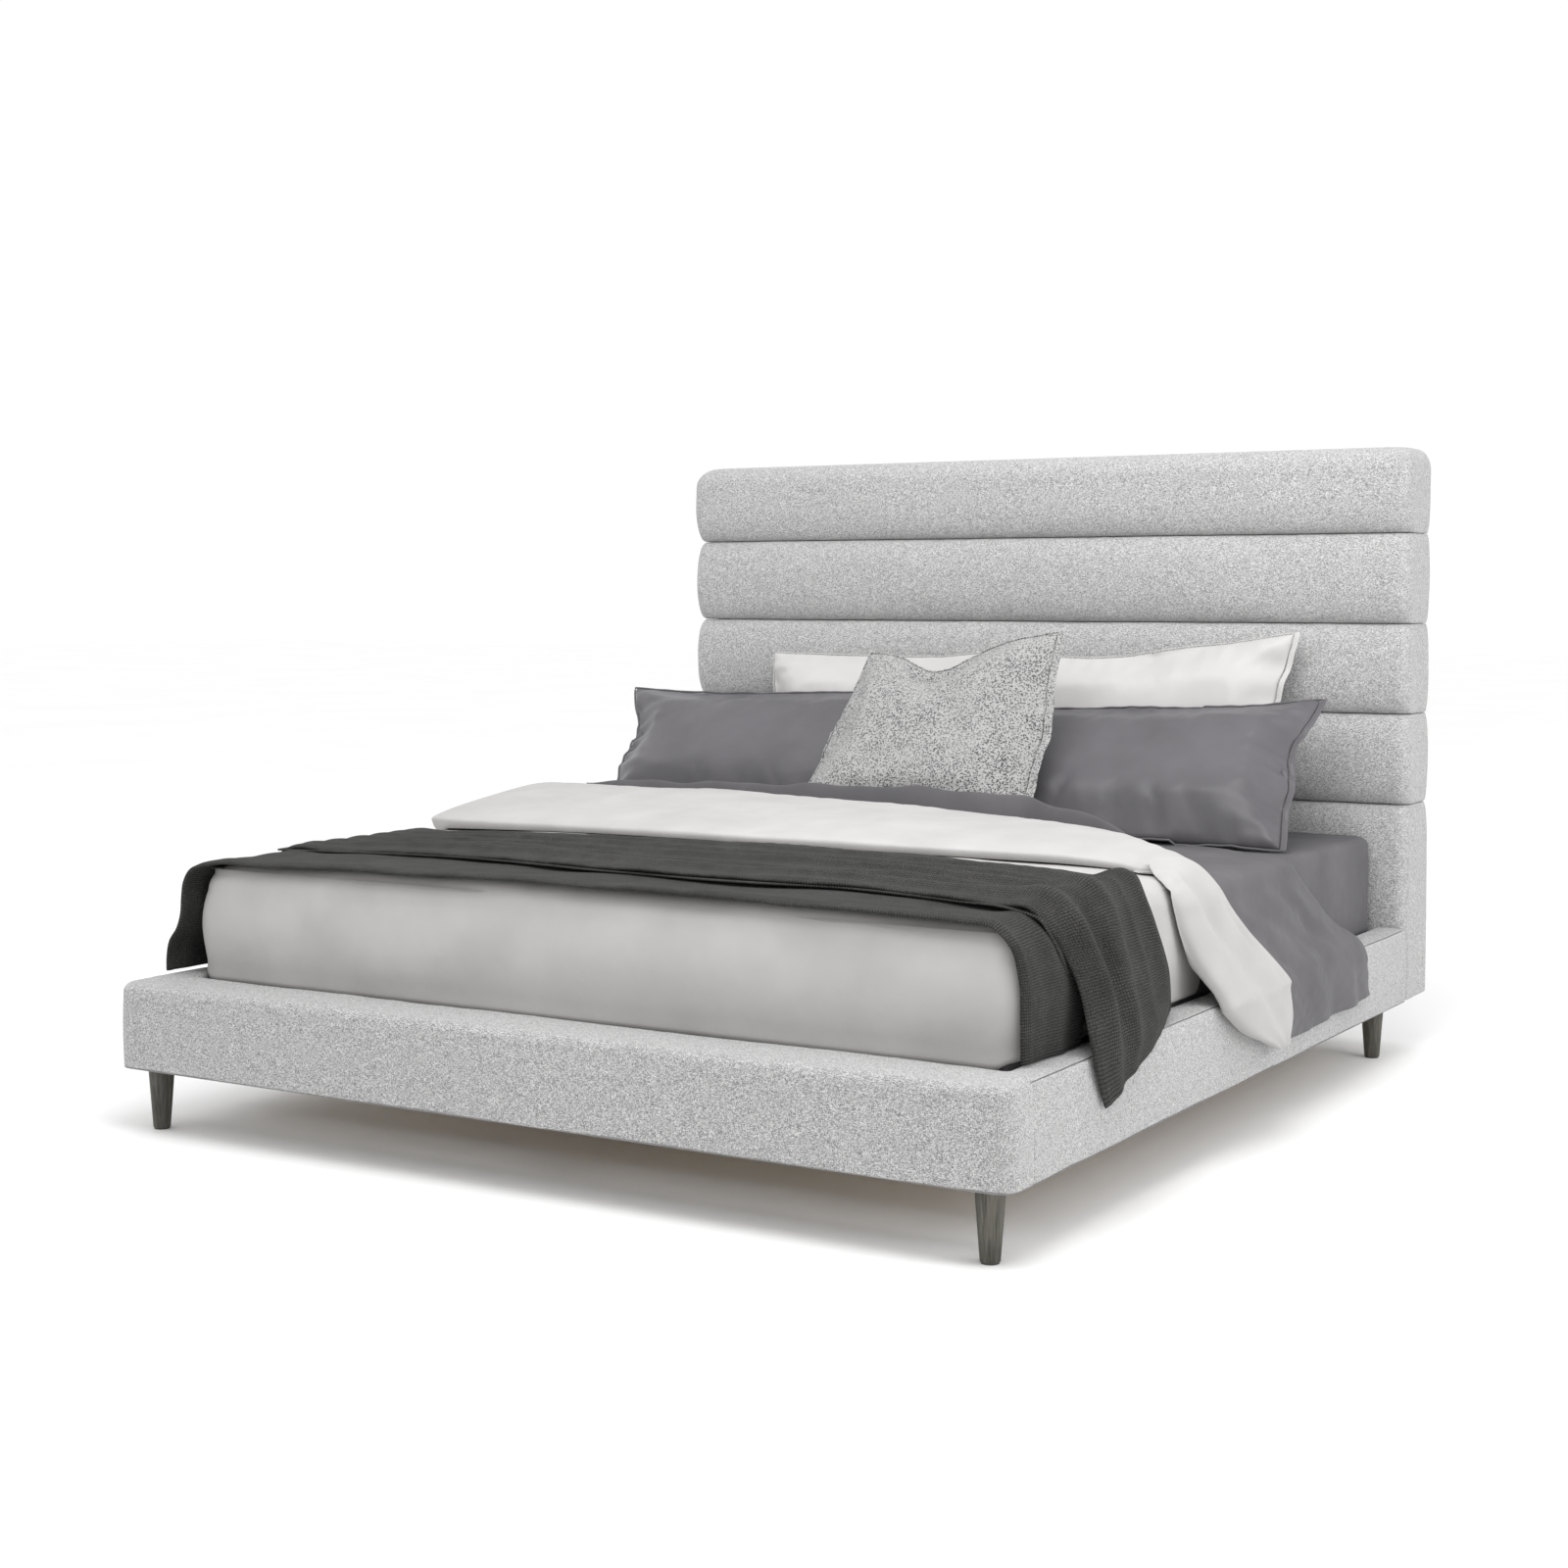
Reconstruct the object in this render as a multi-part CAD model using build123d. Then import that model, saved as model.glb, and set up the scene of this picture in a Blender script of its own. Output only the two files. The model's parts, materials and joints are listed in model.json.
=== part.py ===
from build123d import *
import os

# A king-size upholstered bed with a channelled headboard, a padded platform
# surround, a slatted base and a made-up mattress. Millimetres, +Z up. The origin
# is on the floor at the middle of the footprint; the headboard is at +Y.

# ---- Driving dimensions ----
WIDTH = 2100.0             # over the side rails and the headboard
LENGTH = 2400.0            # foot face to the back of the headboard
HEIGHT = 1505.0            # floor to the top of the headboard
LEG_HEIGHT = 135.0         # floor to the underside of the rails
RAIL_HEIGHT = 180.0
FOOT_RAIL_DEPTH = 150.0
SIDE_RAIL_WIDTH = 78.0
PLAN_RADIUS = 38.0         # outer corners of the foot rail, seen from above
RAIL_TOP_RADIUS = 18.0
RAIL_BOTTOM_RADIUS = 6.0

PADDING_FOOT = 30.0        # foam and fabric on the outer faces of the rails
PADDING_TOP = 15.0
PADDING_BOTTOM = 12.0
BOARD = 25.0
THIN_BOARD = 18.0

CHANNEL_PITCH = 224.0      # height of one upholstered roll
CHANNEL_COUNT = 4
GROOVE_TOP = 1290.0        # the highest groove
CHANNEL_BULGE = 41.0       # how far a roll stands in front of its grooves
SIDE_BULGE = 10.0
HEADBOARD_RADIUS = 28.0
FRAME_FACE = 125.0         # back of the headboard to its plywood face
FRAME_HALF = 1000.0
FACE_PANEL = 12.0
BACK_PANEL = 12.0
BACK_COVER = 6.0
POST_WIDTH = 70.0
CROSS_RAIL_HEIGHT = 45.0

LEG_TOP_RADIUS = 28.0
LEG_BOTTOM_RADIUS = 18.0
LEG_INSET_X = 67.0
LEG_INSET_FOOT = 64.0
REAR_LEG_Y = 970.0
GLIDE_HEIGHT = 3.0
GLIDE_RADIUS = 16.0

SLAT_COUNT = 10
SLAT_WIDTH = 110.0
SLAT_THICKNESS = 18.0
SLAT_HALF = 968.0
SLAT_END_MARGIN = 10.0
MATTRESS_BOTTOM = 265.0
LEDGER_WIDTH = 30.0
LEDGER_HEIGHT = 40.0
BEAM_WIDTH = 45.0
BEAM_HEIGHT = 70.0
CENTRE_LEG_Y = 350.0
CENTRE_LEG_GAP = 25.0      # floor to the underside of a centre leg
FOOT_DISC_HEIGHT = 8.0
STEEL = 3.0

MATTRESS_HALF = 965.0
MATTRESS_FOOT = -1020.0
MATTRESS_HEAD = 1012.0
MATTRESS_HEIGHT = 275.0
MATTRESS_RADIUS = 40.0
GAP = 0.3                  # air between soft pieces that lie on each other
SHEET = 2.0
FLAT_SHEET = 3.0

DUVET_HALF = 994.0
DUVET_EDGE = 12.0          # thickness at its edges
DUVET_CROWN = 52.0         # thickness along the middle
DUVET_MAIN_HEAD = -100.0
ROLL_FOOT = -260.0         # the turned-over part, from its hem to its fold
ROLL_HEAD = 365.0
ROLL_CROWN = 105.0
ROLL_EDGE = 40.0
THROW = 11.0
THROW_FOOT = -1040.0
THROW_HEAD = -370.0
CORNER_FOOT = -365.0       # the duvet corner that hangs over the right rail
CORNER_HEAD = 125.0
PILLOW_EDGE = 14.0         # thickness of a pillow at its seam
PILLOW_CORNER = 40.0

# ---- Values that follow from them ----
HALF_W = WIDTH / 2
FOOT_Y = -LENGTH / 2
BACK_Y = LENGTH / 2
RAIL_BOTTOM = LEG_HEIGHT
RAIL_TOP = RAIL_BOTTOM + RAIL_HEIGHT
FOOT_INNER_Y = FOOT_Y + FOOT_RAIL_DEPTH
RAIL_INNER_X = HALF_W - SIDE_RAIL_WIDTH
CORE_BOTTOM = RAIL_BOTTOM + PADDING_BOTTOM
CORE_TOP = RAIL_TOP - PADDING_TOP
CORE_OUTER_X = HALF_W - PADDING_FOOT
FRAME_Y = BACK_Y - FRAME_FACE
POST_FRONT_Y = FRAME_Y + FACE_PANEL
POST_BACK_Y = BACK_Y - BACK_COVER - BACK_PANEL
GROOVE_Y = 1057.0
PANEL_FRONT_Y = GROOVE_Y - CHANNEL_BULGE
FRAME_TOP = HEIGHT - 35.0
LOWER_TOP = GROOVE_TOP - 3 * CHANNEL_PITCH
SLAT_BOTTOM = MATTRESS_BOTTOM - SLAT_THICKNESS
BEAM_BOTTOM = SLAT_BOTTOM - BEAM_HEIGHT
MATTRESS_TOP = MATTRESS_BOTTOM + MATTRESS_HEIGHT
SHEET_TOP = MATTRESS_TOP + GAP + SHEET
FLAT_BOTTOM = SHEET_TOP + GAP
FLAT_TOP = FLAT_BOTTOM + FLAT_SHEET
DUVET_BOTTOM = FLAT_TOP + GAP
DUVET_FOOT = -1045.0
BRACKET_BOTTOM = 150.0
BRACKET_TOP = 240.0
BRACKET_LEG = 60.0
BRACKET_NOTCH = 75.0       # room cut in the lower panel for each rear bracket
HALF_BEAM_NOTCH = 45.0
LEDGER_FOOT = -980.0
LEDGER_HEAD = 950.0
LEG_BOLT_RADIUS = 4.0
SCREW_HEAD = 3.0           # height of a sunk screw head
MATTRESS_TOP_EDGE = 20.0
MATTRESS_LOW_EDGE = 12.0
SKIRT_BOTTOM = MATTRESS_BOTTOM + 18
DUVET_SIDE_BOTTOM = 320.0
HANG_GAP = 3.0             # between the rail's outer face and what hangs over it
BEYOND = 5.0               # how far a cutting shape reaches past what it cuts


# ---- Helpers ----
def block(x0, x1, y0, y1, z0, z1):
    centre = Pos((x0 + x1) / 2, (y0 + y1) / 2, (z0 + z1) / 2)
    return centre * Box(x1 - x0, y1 - y0, z1 - z0)


def along_x(outline, x0, x1):
    """Extrude an outline of (y, z) edges from x0 to x1."""
    face = make_face(Plane.YZ * outline)
    return Pos(x0, 0, 0) * extrude(face, x1 - x0, dir=(1, 0, 0))


def along_y(outline, y0, y1):
    """Extrude an outline of (x, z) edges from y0 to y1."""
    face = make_face(Plane(origin=(0, 0, 0), x_dir=(1, 0, 0), z_dir=(0, -1, 0)) * outline)
    return Pos(0, y0, 0) * extrude(face, y1 - y0, dir=(0, 1, 0))


def closed(points):
    return Polyline(*points, close=True)


def cylinder_z(x, y, radius, z0, z1):
    return Pos(x, y, (z0 + z1) / 2) * Cylinder(radius, z1 - z0)


def cylinder_x(y, z, radius, x0, x1):
    return Pos((x0 + x1) / 2, y, z) * Rot(0, 90, 0) * Cylinder(radius, x1 - x0)


def cylinder_y(x, z, radius, y0, y1):
    return Pos(x, (y0 + y1) / 2, z) * Rot(90, 0, 0) * Cylinder(radius, y1 - y0)


def mirrored(shape):
    return mirror(shape, about=Plane.YZ)


def solids_of(*shapes):
    return [solid for shape in shapes for solid in shape.solids()]


def group(shapes):
    return Compound(children=solids_of(*shapes))


def minus(shape, cutters):
    for cutter in cutters:
        shape = shape - cutter
    return shape


# ---- Fasteners: each pair of parts they hold is drilled with the same shapes ----
def bracket_bolts():
    """Hex bolts through the four corner brackets: two into the side core, two endways."""
    bolts = []
    head_radius = 6.5
    head_height = 5.0
    shank_radius = 4.0
    length = 30.0
    for z in (BRACKET_BOTTOM + 22, BRACKET_TOP - 22):
        for y in (FOOT_INNER_Y + 38, FRAME_Y - 38):
            inner = RAIL_INNER_X - STEEL
            head = cylinder_x(y, z, head_radius, inner - head_height, inner)
            bolts.append(head + cylinder_x(y, z, shank_radius, inner, inner + length))
        x = RAIL_INNER_X - 38
        foot = FOOT_INNER_Y + STEEL
        head = cylinder_y(x, z, head_radius, foot, foot + head_height)
        bolts.append(head + cylinder_y(x, z, shank_radius, foot - BOARD - STEEL + 1, foot))
        rear = FRAME_Y - STEEL
        head = cylinder_y(x, z, head_radius, rear - head_height, rear)
        bolts.append(head + cylinder_y(x, z, shank_radius, rear, rear + length))
    return bolts + [mirrored(bolt) for bolt in bolts]


def ledger_screws():
    """Wood screws that hold a ledger to each side core, heads sunk flush."""
    screws = []
    z = SLAT_BOTTOM - LEDGER_HEIGHT / 2
    inner = RAIL_INNER_X - LEDGER_WIDTH
    for y in (-900.0, -450.0, 0.0, 450.0, 900.0):
        head = cylinder_x(y, z, 5.0, inner, inner + SCREW_HEAD)
        screws.append(head + cylinder_x(y, z, 2.5, inner + SCREW_HEAD, inner + 60))
    return screws + [mirrored(screw) for screw in screws]


def slat_centres():
    first = FOOT_INNER_Y + 40 + SLAT_WIDTH / 2
    last = PANEL_FRONT_Y - SLAT_END_MARGIN - SLAT_WIDTH / 2
    step = (last - first) / (SLAT_COUNT - 1)
    return [first + step * i for i in range(SLAT_COUNT)]


def slat_screws():
    """Countersunk screws: each slat into both ledgers and into the centre beam."""
    screws = []
    for y in slat_centres():
        for x in (-(RAIL_INNER_X - LEDGER_WIDTH / 2), 0.0, RAIL_INNER_X - LEDGER_WIDTH / 2):
            neck = MATTRESS_BOTTOM - SCREW_HEAD
            head = cylinder_z(x, y, 4.0, neck, MATTRESS_BOTTOM)
            screws.append(head + cylinder_z(x, y, 2.0, MATTRESS_BOTTOM - 35, neck))
    return screws


def leg_places():
    x = HALF_W - LEG_INSET_X
    y = FOOT_Y + LEG_INSET_FOOT
    return {"leg_front_left": (-x, y), "leg_front_right": (x, y),
            "leg_rear_left": (-x, REAR_LEG_Y), "leg_rear_right": (x, REAR_LEG_Y)}


def leg_bolts():
    """Hanger bolts that screw up out of the legs into the rails."""
    low = LEG_HEIGHT - 40
    high = LEG_HEIGHT + 45
    return [cylinder_z(x, y, LEG_BOLT_RADIUS, low, high) for x, y in leg_places().values()]


# ---- Headboard ----
def channel_front(z0, z1):
    """(y, z) outline of one roll: an arc at the front, flat behind."""
    back = BACK_Y - BACK_COVER
    middle = (z0 + z1) / 2
    arc = ThreePointArc((GROOVE_Y, z0), (PANEL_FRONT_Y, middle), (GROOVE_Y, z1))
    rest = Polyline((GROOVE_Y, z1), (back, z1), (back, z0), (GROOVE_Y, z0))
    return arc + rest


def channel_side(z0, z1):
    """(x, z) outline of one roll, with its ends a little bulged."""
    inner = HALF_W - SIDE_BULGE
    middle = (z0 + z1) / 2
    right = ThreePointArc((inner, z0), (HALF_W, middle), (inner, z1))
    left = ThreePointArc((-inner, z1), (-HALF_W, middle), (-inner, z0))
    return right + Line((inner, z1), (-inner, z1)) + left + Line((-inner, z0), (inner, z0))


def plan_of_headboard(z0, z1):
    """A block with the headboard's rounded front corners, seen from above."""
    back = BACK_Y - BACK_COVER
    body = block(-HALF_W, HALF_W, PANEL_FRONT_Y, back, z0, z1)
    edges = body.edges().filter_by(Axis.Z).group_by(Axis.Y)[0]
    return fillet(edges, HEADBOARD_RADIUS)


def frame_space(z0, z1):
    """The room behind the rolls that the timber frame fills."""
    return block(-FRAME_HALF, FRAME_HALF, FRAME_Y, BACK_Y, z0, z1)


def headboard_channel(z0, z1):
    roll = along_x(channel_front(z0, z1), -HALF_W, HALF_W)
    roll = roll & along_y(channel_side(z0, z1), PANEL_FRONT_Y - BEYOND, BACK_Y)
    roll = roll & plan_of_headboard(z0, z1)
    return roll - frame_space(z0, z1)


def headboard_top_channel():
    """The top roll also wraps over the top of the frame."""
    z0 = GROOVE_TOP
    back = BACK_Y - BACK_COVER
    shoulder = HEIGHT - 45.0
    front = ThreePointArc((GROOVE_Y, z0), (PANEL_FRONT_Y, z0 + 95), (PANEL_FRONT_Y + 8, shoulder))
    crest = ThreePointArc((PANEL_FRONT_Y + 8, shoulder), (PANEL_FRONT_Y + 32, HEIGHT - 12),
                          (PANEL_FRONT_Y + 70, HEIGHT))
    rest = Polyline((PANEL_FRONT_Y + 70, HEIGHT), (back, HEIGHT), (back, z0), (GROOVE_Y, z0))
    roll = along_x(front + crest + rest, -HALF_W, HALF_W)
    inner = HALF_W - SIDE_BULGE
    end = HALF_W - 30.0
    right = ThreePointArc((inner, z0), (HALF_W, z0 + 110), (HALF_W - 4, shoulder))
    corner = ThreePointArc((HALF_W - 4, shoulder), (HALF_W - 11, HEIGHT - 11), (end, HEIGHT))
    left = mirror(right + corner, about=Plane.YZ)
    top = Line((end, HEIGHT), (-end, HEIGHT))
    bottom = Line((-inner, z0), (inner, z0))
    roll = roll & along_y(right + corner + top + left + bottom, PANEL_FRONT_Y - BEYOND, BACK_Y)
    roll = roll & plan_of_headboard(z0, HEIGHT)
    return roll - frame_space(z0, FRAME_TOP)


def headboard_lower_panel():
    """The tall bottom panel; it is notched for the rail ends and the centre beam."""
    z0 = RAIL_BOTTOM
    z1 = LOWER_TOP
    back = BACK_Y - BACK_COVER
    bend = z1 - 90.0
    arc = ThreePointArc((PANEL_FRONT_Y, bend), (PANEL_FRONT_Y + 9, z1 - 38), (GROOVE_Y, z1))
    rest = Polyline((GROOVE_Y, z1), (back, z1), (back, z0), (PANEL_FRONT_Y, z0),
                    (PANEL_FRONT_Y, bend))
    panel = along_x(arc + rest, -HALF_W, HALF_W) & plan_of_headboard(z0, z1)
    inner = HALF_W - SIDE_BULGE
    right = ThreePointArc((HALF_W, bend), (HALF_W - 2, z1 - 40), (inner, z1))
    left = ThreePointArc((-inner, z1), (-HALF_W + 2, z1 - 40), (-HALF_W, bend))
    lower = Polyline((-HALF_W, bend), (-HALF_W, z0), (HALF_W, z0), (HALF_W, bend))
    outline = right + Line((inner, z1), (-inner, z1)) + left + lower
    front = PANEL_FRONT_Y - BEYOND
    panel = panel & along_y(outline, front, BACK_Y)
    core_notch = block(RAIL_INNER_X, CORE_OUTER_X, front, FRAME_Y, CORE_BOTTOM, CORE_TOP)
    bracket_notch = block(RAIL_INNER_X - BRACKET_NOTCH, RAIL_INNER_X, front, FRAME_Y,
                          CORE_BOTTOM, SLAT_BOTTOM)
    beam_notch = block(-HALF_BEAM_NOTCH, HALF_BEAM_NOTCH, front, FRAME_Y, CORE_BOTTOM, SLAT_BOTTOM)
    notches = [core_notch, bracket_notch, mirrored(core_notch), mirrored(bracket_notch), beam_notch]
    return minus(panel - frame_space(CORE_BOTTOM, z1), notches)


def headboard_parts():
    bolts = bracket_bolts()
    parts = {}
    front = block(-FRAME_HALF, FRAME_HALF, FRAME_Y, POST_FRONT_Y, CORE_BOTTOM, FRAME_TOP)
    parts["headboard_face_panel"] = minus(front, bolts)
    inner = FRAME_HALF - POST_WIDTH
    post = block(inner, FRAME_HALF, POST_FRONT_Y, POST_BACK_Y, CORE_BOTTOM, FRAME_TOP)
    parts["headboard_post_right"] = minus(post, bolts)
    parts["headboard_post_left"] = minus(mirrored(post), bolts)
    heights = [CORE_BOTTOM, LOWER_TOP - CROSS_RAIL_HEIGHT, FRAME_TOP - CROSS_RAIL_HEIGHT]
    for name, z in zip(("bottom", "middle", "top"), heights):
        rail = block(-inner, inner, POST_FRONT_Y, POST_BACK_Y, z, z + CROSS_RAIL_HEIGHT)
        parts[f"headboard_cross_rail_{name}"] = rail
    parts["headboard_back_panel"] = block(-FRAME_HALF, FRAME_HALF, POST_BACK_Y, BACK_Y - BACK_COVER,
                                          CORE_BOTTOM, FRAME_TOP)
    half = HALF_W - 14
    cover = block(-half, half, BACK_Y - BACK_COVER, BACK_Y, RAIL_BOTTOM + 4, HEIGHT - 12)
    parts["headboard_back_cover"] = fillet(cover.edges().filter_by(Axis.Y), 16)
    parts["headboard_channel_1"] = headboard_top_channel()
    for i in range(1, CHANNEL_COUNT):
        top = GROOVE_TOP - CHANNEL_PITCH * (i - 1)
        parts[f"headboard_channel_{i + 1}"] = headboard_channel(top - CHANNEL_PITCH, top)
    parts["headboard_lower_panel"] = headboard_lower_panel()
    return parts


# ---- Foot rail and side rails ----
def foot_rail_parts():
    bolts = bracket_bolts() + leg_bolts()
    outer = block(-HALF_W, HALF_W, FOOT_Y, FOOT_INNER_Y, RAIL_BOTTOM, RAIL_TOP)
    outer = fillet(outer.edges().filter_by(Axis.Z).group_by(Axis.Y)[0], PLAN_RADIUS)
    for end, radius in ((-1, RAIL_TOP_RADIUS), (0, RAIL_BOTTOM_RADIUS)):
        edges = outer.faces().sort_by(Axis.Z)[end].edges()
        outer = fillet([e for e in edges if e.center().Y < FOOT_INNER_Y - 1], radius)
    front_y = FOOT_Y + PADDING_FOOT
    half = CORE_OUTER_X
    rear_y = FOOT_INNER_Y - BOARD
    pocket = block(-half, half, front_y, FOOT_INNER_Y, CORE_BOTTOM, CORE_TOP)
    parts = {"foot_rail_cover": minus(outer - pocket, bolts)}
    front = block(-half, half, front_y, front_y + BOARD, CORE_BOTTOM, CORE_TOP)
    rear = block(-half, half, rear_y, FOOT_INNER_Y, CORE_BOTTOM, CORE_TOP)
    lower = block(-half, half, front_y + BOARD, rear_y, CORE_BOTTOM, CORE_BOTTOM + THIN_BOARD)
    upper = block(-half, half, front_y + BOARD, rear_y, CORE_TOP - THIN_BOARD, CORE_TOP)
    parts["foot_rail_front_board"] = front
    parts["foot_rail_rear_board"] = minus(rear, bolts)
    parts["foot_rail_bottom_board"] = minus(lower, bolts)
    parts["foot_rail_top_board"] = upper
    return parts


def side_rail_cover():
    outer = block(RAIL_INNER_X, HALF_W, FOOT_INNER_Y, PANEL_FRONT_Y, RAIL_BOTTOM, RAIL_TOP)
    for end, radius in ((-1, RAIL_TOP_RADIUS), (0, RAIL_BOTTOM_RADIUS)):
        edges = outer.edges().filter_by(Axis.Y)
        outside = [e for e in edges if e.center().X > HALF_W - 1]
        outer = fillet(ShapeList(outside).sort_by(Axis.Z)[end], radius)
    core = block(RAIL_INNER_X, CORE_OUTER_X, FOOT_INNER_Y, PANEL_FRONT_Y, CORE_BOTTOM, CORE_TOP)
    return outer - core


def side_rail_parts():
    fasteners = bracket_bolts() + leg_bolts() + ledger_screws()
    core = block(RAIL_INNER_X, CORE_OUTER_X, FOOT_INNER_Y, FRAME_Y, CORE_BOTTOM, CORE_TOP)
    cover = side_rail_cover()
    return {
        "side_rail_core_right": minus(core, fasteners),
        "side_rail_core_left": minus(mirrored(core), fasteners),
        "side_rail_cover_right": minus(cover, fasteners),
        "side_rail_cover_left": minus(mirrored(cover), fasteners),
    }


# ---- Slatted base ----
def corner_bracket(end_y, inwards):
    """A steel angle from the side core to the foot rail or the headboard frame."""
    x1 = RAIL_INNER_X
    along = sorted((end_y, end_y + inwards * BRACKET_LEG))
    end = sorted((end_y, end_y + inwards * STEEL))
    side_leg = block(x1 - STEEL, x1, along[0], along[1], BRACKET_BOTTOM, BRACKET_TOP)
    end_leg = block(x1 - BRACKET_LEG, x1, end[0], end[1], BRACKET_BOTTOM, BRACKET_TOP)
    return side_leg + end_leg


def beam_hanger(end_y, inwards):
    """A steel shoe: a back plate on the end rail and a seat under the beam."""
    half = BEAM_WIDTH / 2 + 8
    back = sorted((end_y, end_y + inwards * STEEL))
    seat = sorted((end_y, end_y + inwards * 45))
    plate = block(-half, half, back[0], back[1], BEAM_BOTTOM - STEEL, SLAT_BOTTOM - 8)
    return plate + block(-half, half, seat[0], seat[1], BEAM_BOTTOM - STEEL, BEAM_BOTTOM)


def base_parts():
    screws = ledger_screws() + slat_screws()
    bolts = bracket_bolts()
    parts = {}
    ledger = block(RAIL_INNER_X - LEDGER_WIDTH, RAIL_INNER_X, LEDGER_FOOT, LEDGER_HEAD,
                   SLAT_BOTTOM - LEDGER_HEIGHT, SLAT_BOTTOM)
    parts["slat_ledger_right"] = minus(ledger, screws)
    parts["slat_ledger_left"] = minus(mirrored(ledger), screws)
    half = BEAM_WIDTH / 2
    beam = block(-half, half, FOOT_INNER_Y + STEEL, FRAME_Y - STEEL, BEAM_BOTTOM, SLAT_BOTTOM)
    parts["centre_beam"] = minus(beam, screws)
    parts["beam_hangers"] = group([beam_hanger(FOOT_INNER_Y, 1), beam_hanger(FRAME_Y, -1)])
    right = [corner_bracket(FOOT_INNER_Y, 1), corner_bracket(FRAME_Y, -1)]
    brackets = [minus(bracket, bolts) for bracket in right + [mirrored(b) for b in right]]
    parts["corner_brackets"] = group(brackets)
    for i, y in enumerate(slat_centres()):
        y0 = y - SLAT_WIDTH / 2
        slat = block(-SLAT_HALF, SLAT_HALF, y0, y0 + SLAT_WIDTH, SLAT_BOTTOM, MATTRESS_BOTTOM)
        slat = fillet(slat.edges().filter_by(Axis.Z), 6)
        parts[f"slat_{i + 1:02d}"] = minus(slat, slat_screws())
    for name, y in (("front", -CENTRE_LEG_Y), ("rear", CENTRE_LEG_Y)):
        post = block(-half, half, y - half, y + half, CENTRE_LEG_GAP, BEAM_BOTTOM)
        parts[f"centre_leg_{name}"] = post - cylinder_z(0, y, 4.4, CENTRE_LEG_GAP - 1, 80)
        disc = cylinder_z(0, y, 18.0, 0, FOOT_DISC_HEIGHT)
        parts[f"centre_leg_foot_{name}"] = disc + cylinder_z(0, y, 4.0, FOOT_DISC_HEIGHT, 48)
    parts["bracket_bolts"] = group(bracket_bolts())
    parts["ledger_screws"] = group(ledger_screws())
    parts["slat_screws"] = group(slat_screws())
    return parts


# ---- Legs ----
def leg_parts():
    parts = {}
    glides = []
    for name, (x, y) in leg_places().items():
        height = LEG_HEIGHT - GLIDE_HEIGHT
        middle = GLIDE_HEIGHT + height / 2
        cone = Pos(x, y, middle) * Cone(LEG_BOTTOM_RADIUS, LEG_TOP_RADIUS, height)
        cone = fillet(cone.edges().sort_by(Axis.Z)[0], 2.0)
        parts[name] = minus(cone, leg_bolts())
        glides.append(cylinder_z(x, y, GLIDE_RADIUS, 0, GLIDE_HEIGHT))
    parts["leg_glides"] = group(glides)
    parts["leg_bolts"] = group(leg_bolts())
    return parts


# ---- Mattress and sheets ----
def soft_block(grow, z0, z1, edge):
    """A block on the mattress's plan, grown all round, with its top edges rounded."""
    half = MATTRESS_HALF + grow
    body = block(-half, half, MATTRESS_FOOT - grow, MATTRESS_HEAD + grow, z0, z1)
    body = fillet(body.edges().filter_by(Axis.Z), MATTRESS_RADIUS + grow)
    return fillet(body.faces().sort_by(Axis.Z)[-1].edges(), edge)


def mattress():
    body = soft_block(0, MATTRESS_BOTTOM, MATTRESS_TOP, MATTRESS_TOP_EDGE)
    return fillet(body.faces().sort_by(Axis.Z)[0].edges(), MATTRESS_LOW_EDGE)


def fitted_sheet():
    outer = soft_block(GAP + SHEET, SKIRT_BOTTOM, SHEET_TOP, MATTRESS_TOP_EDGE + SHEET)
    inside = soft_block(GAP, SKIRT_BOTTOM - BEYOND, MATTRESS_TOP + GAP, MATTRESS_TOP_EDGE)
    return outer - inside


def flat_sheet():
    """The sheet on the bed, with one side hung over the right rail."""
    top = block(-966, 966, -1010, 620, FLAT_BOTTOM, FLAT_TOP)
    inner_x = MATTRESS_HALF + 1
    rail_x = HALF_W + HANG_GAP
    under = [(inner_x, FLAT_TOP), (inner_x, FLAT_BOTTOM), (983, 500), (rail_x - 1, 332), (rail_x, 190)]
    over = [(rail_x + 4, 190), (rail_x + 4, 336), (988, 503), (974, FLAT_TOP)]
    hung = along_y(closed(under + over), 140, 640)
    corner = closed([(139, 600), (139, 185), (240, 185), (641, 200), (641, 310), (470, 600)])
    return top + (hung & along_x(corner, 900, 1100))


# ---- Duvet and throw ----
def crowned(half, z0, edge, crown, y0, y1):
    """A slab with a flat underside and a top that rises to the middle in an arc."""
    arc = ThreePointArc((half, z0 + edge), (0, z0 + crown), (-half, z0 + edge))
    rest = Polyline((-half, z0 + edge), (-half, z0), (half, z0), (half, z0 + edge))
    return along_y(arc + rest, y0, y1)


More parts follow.
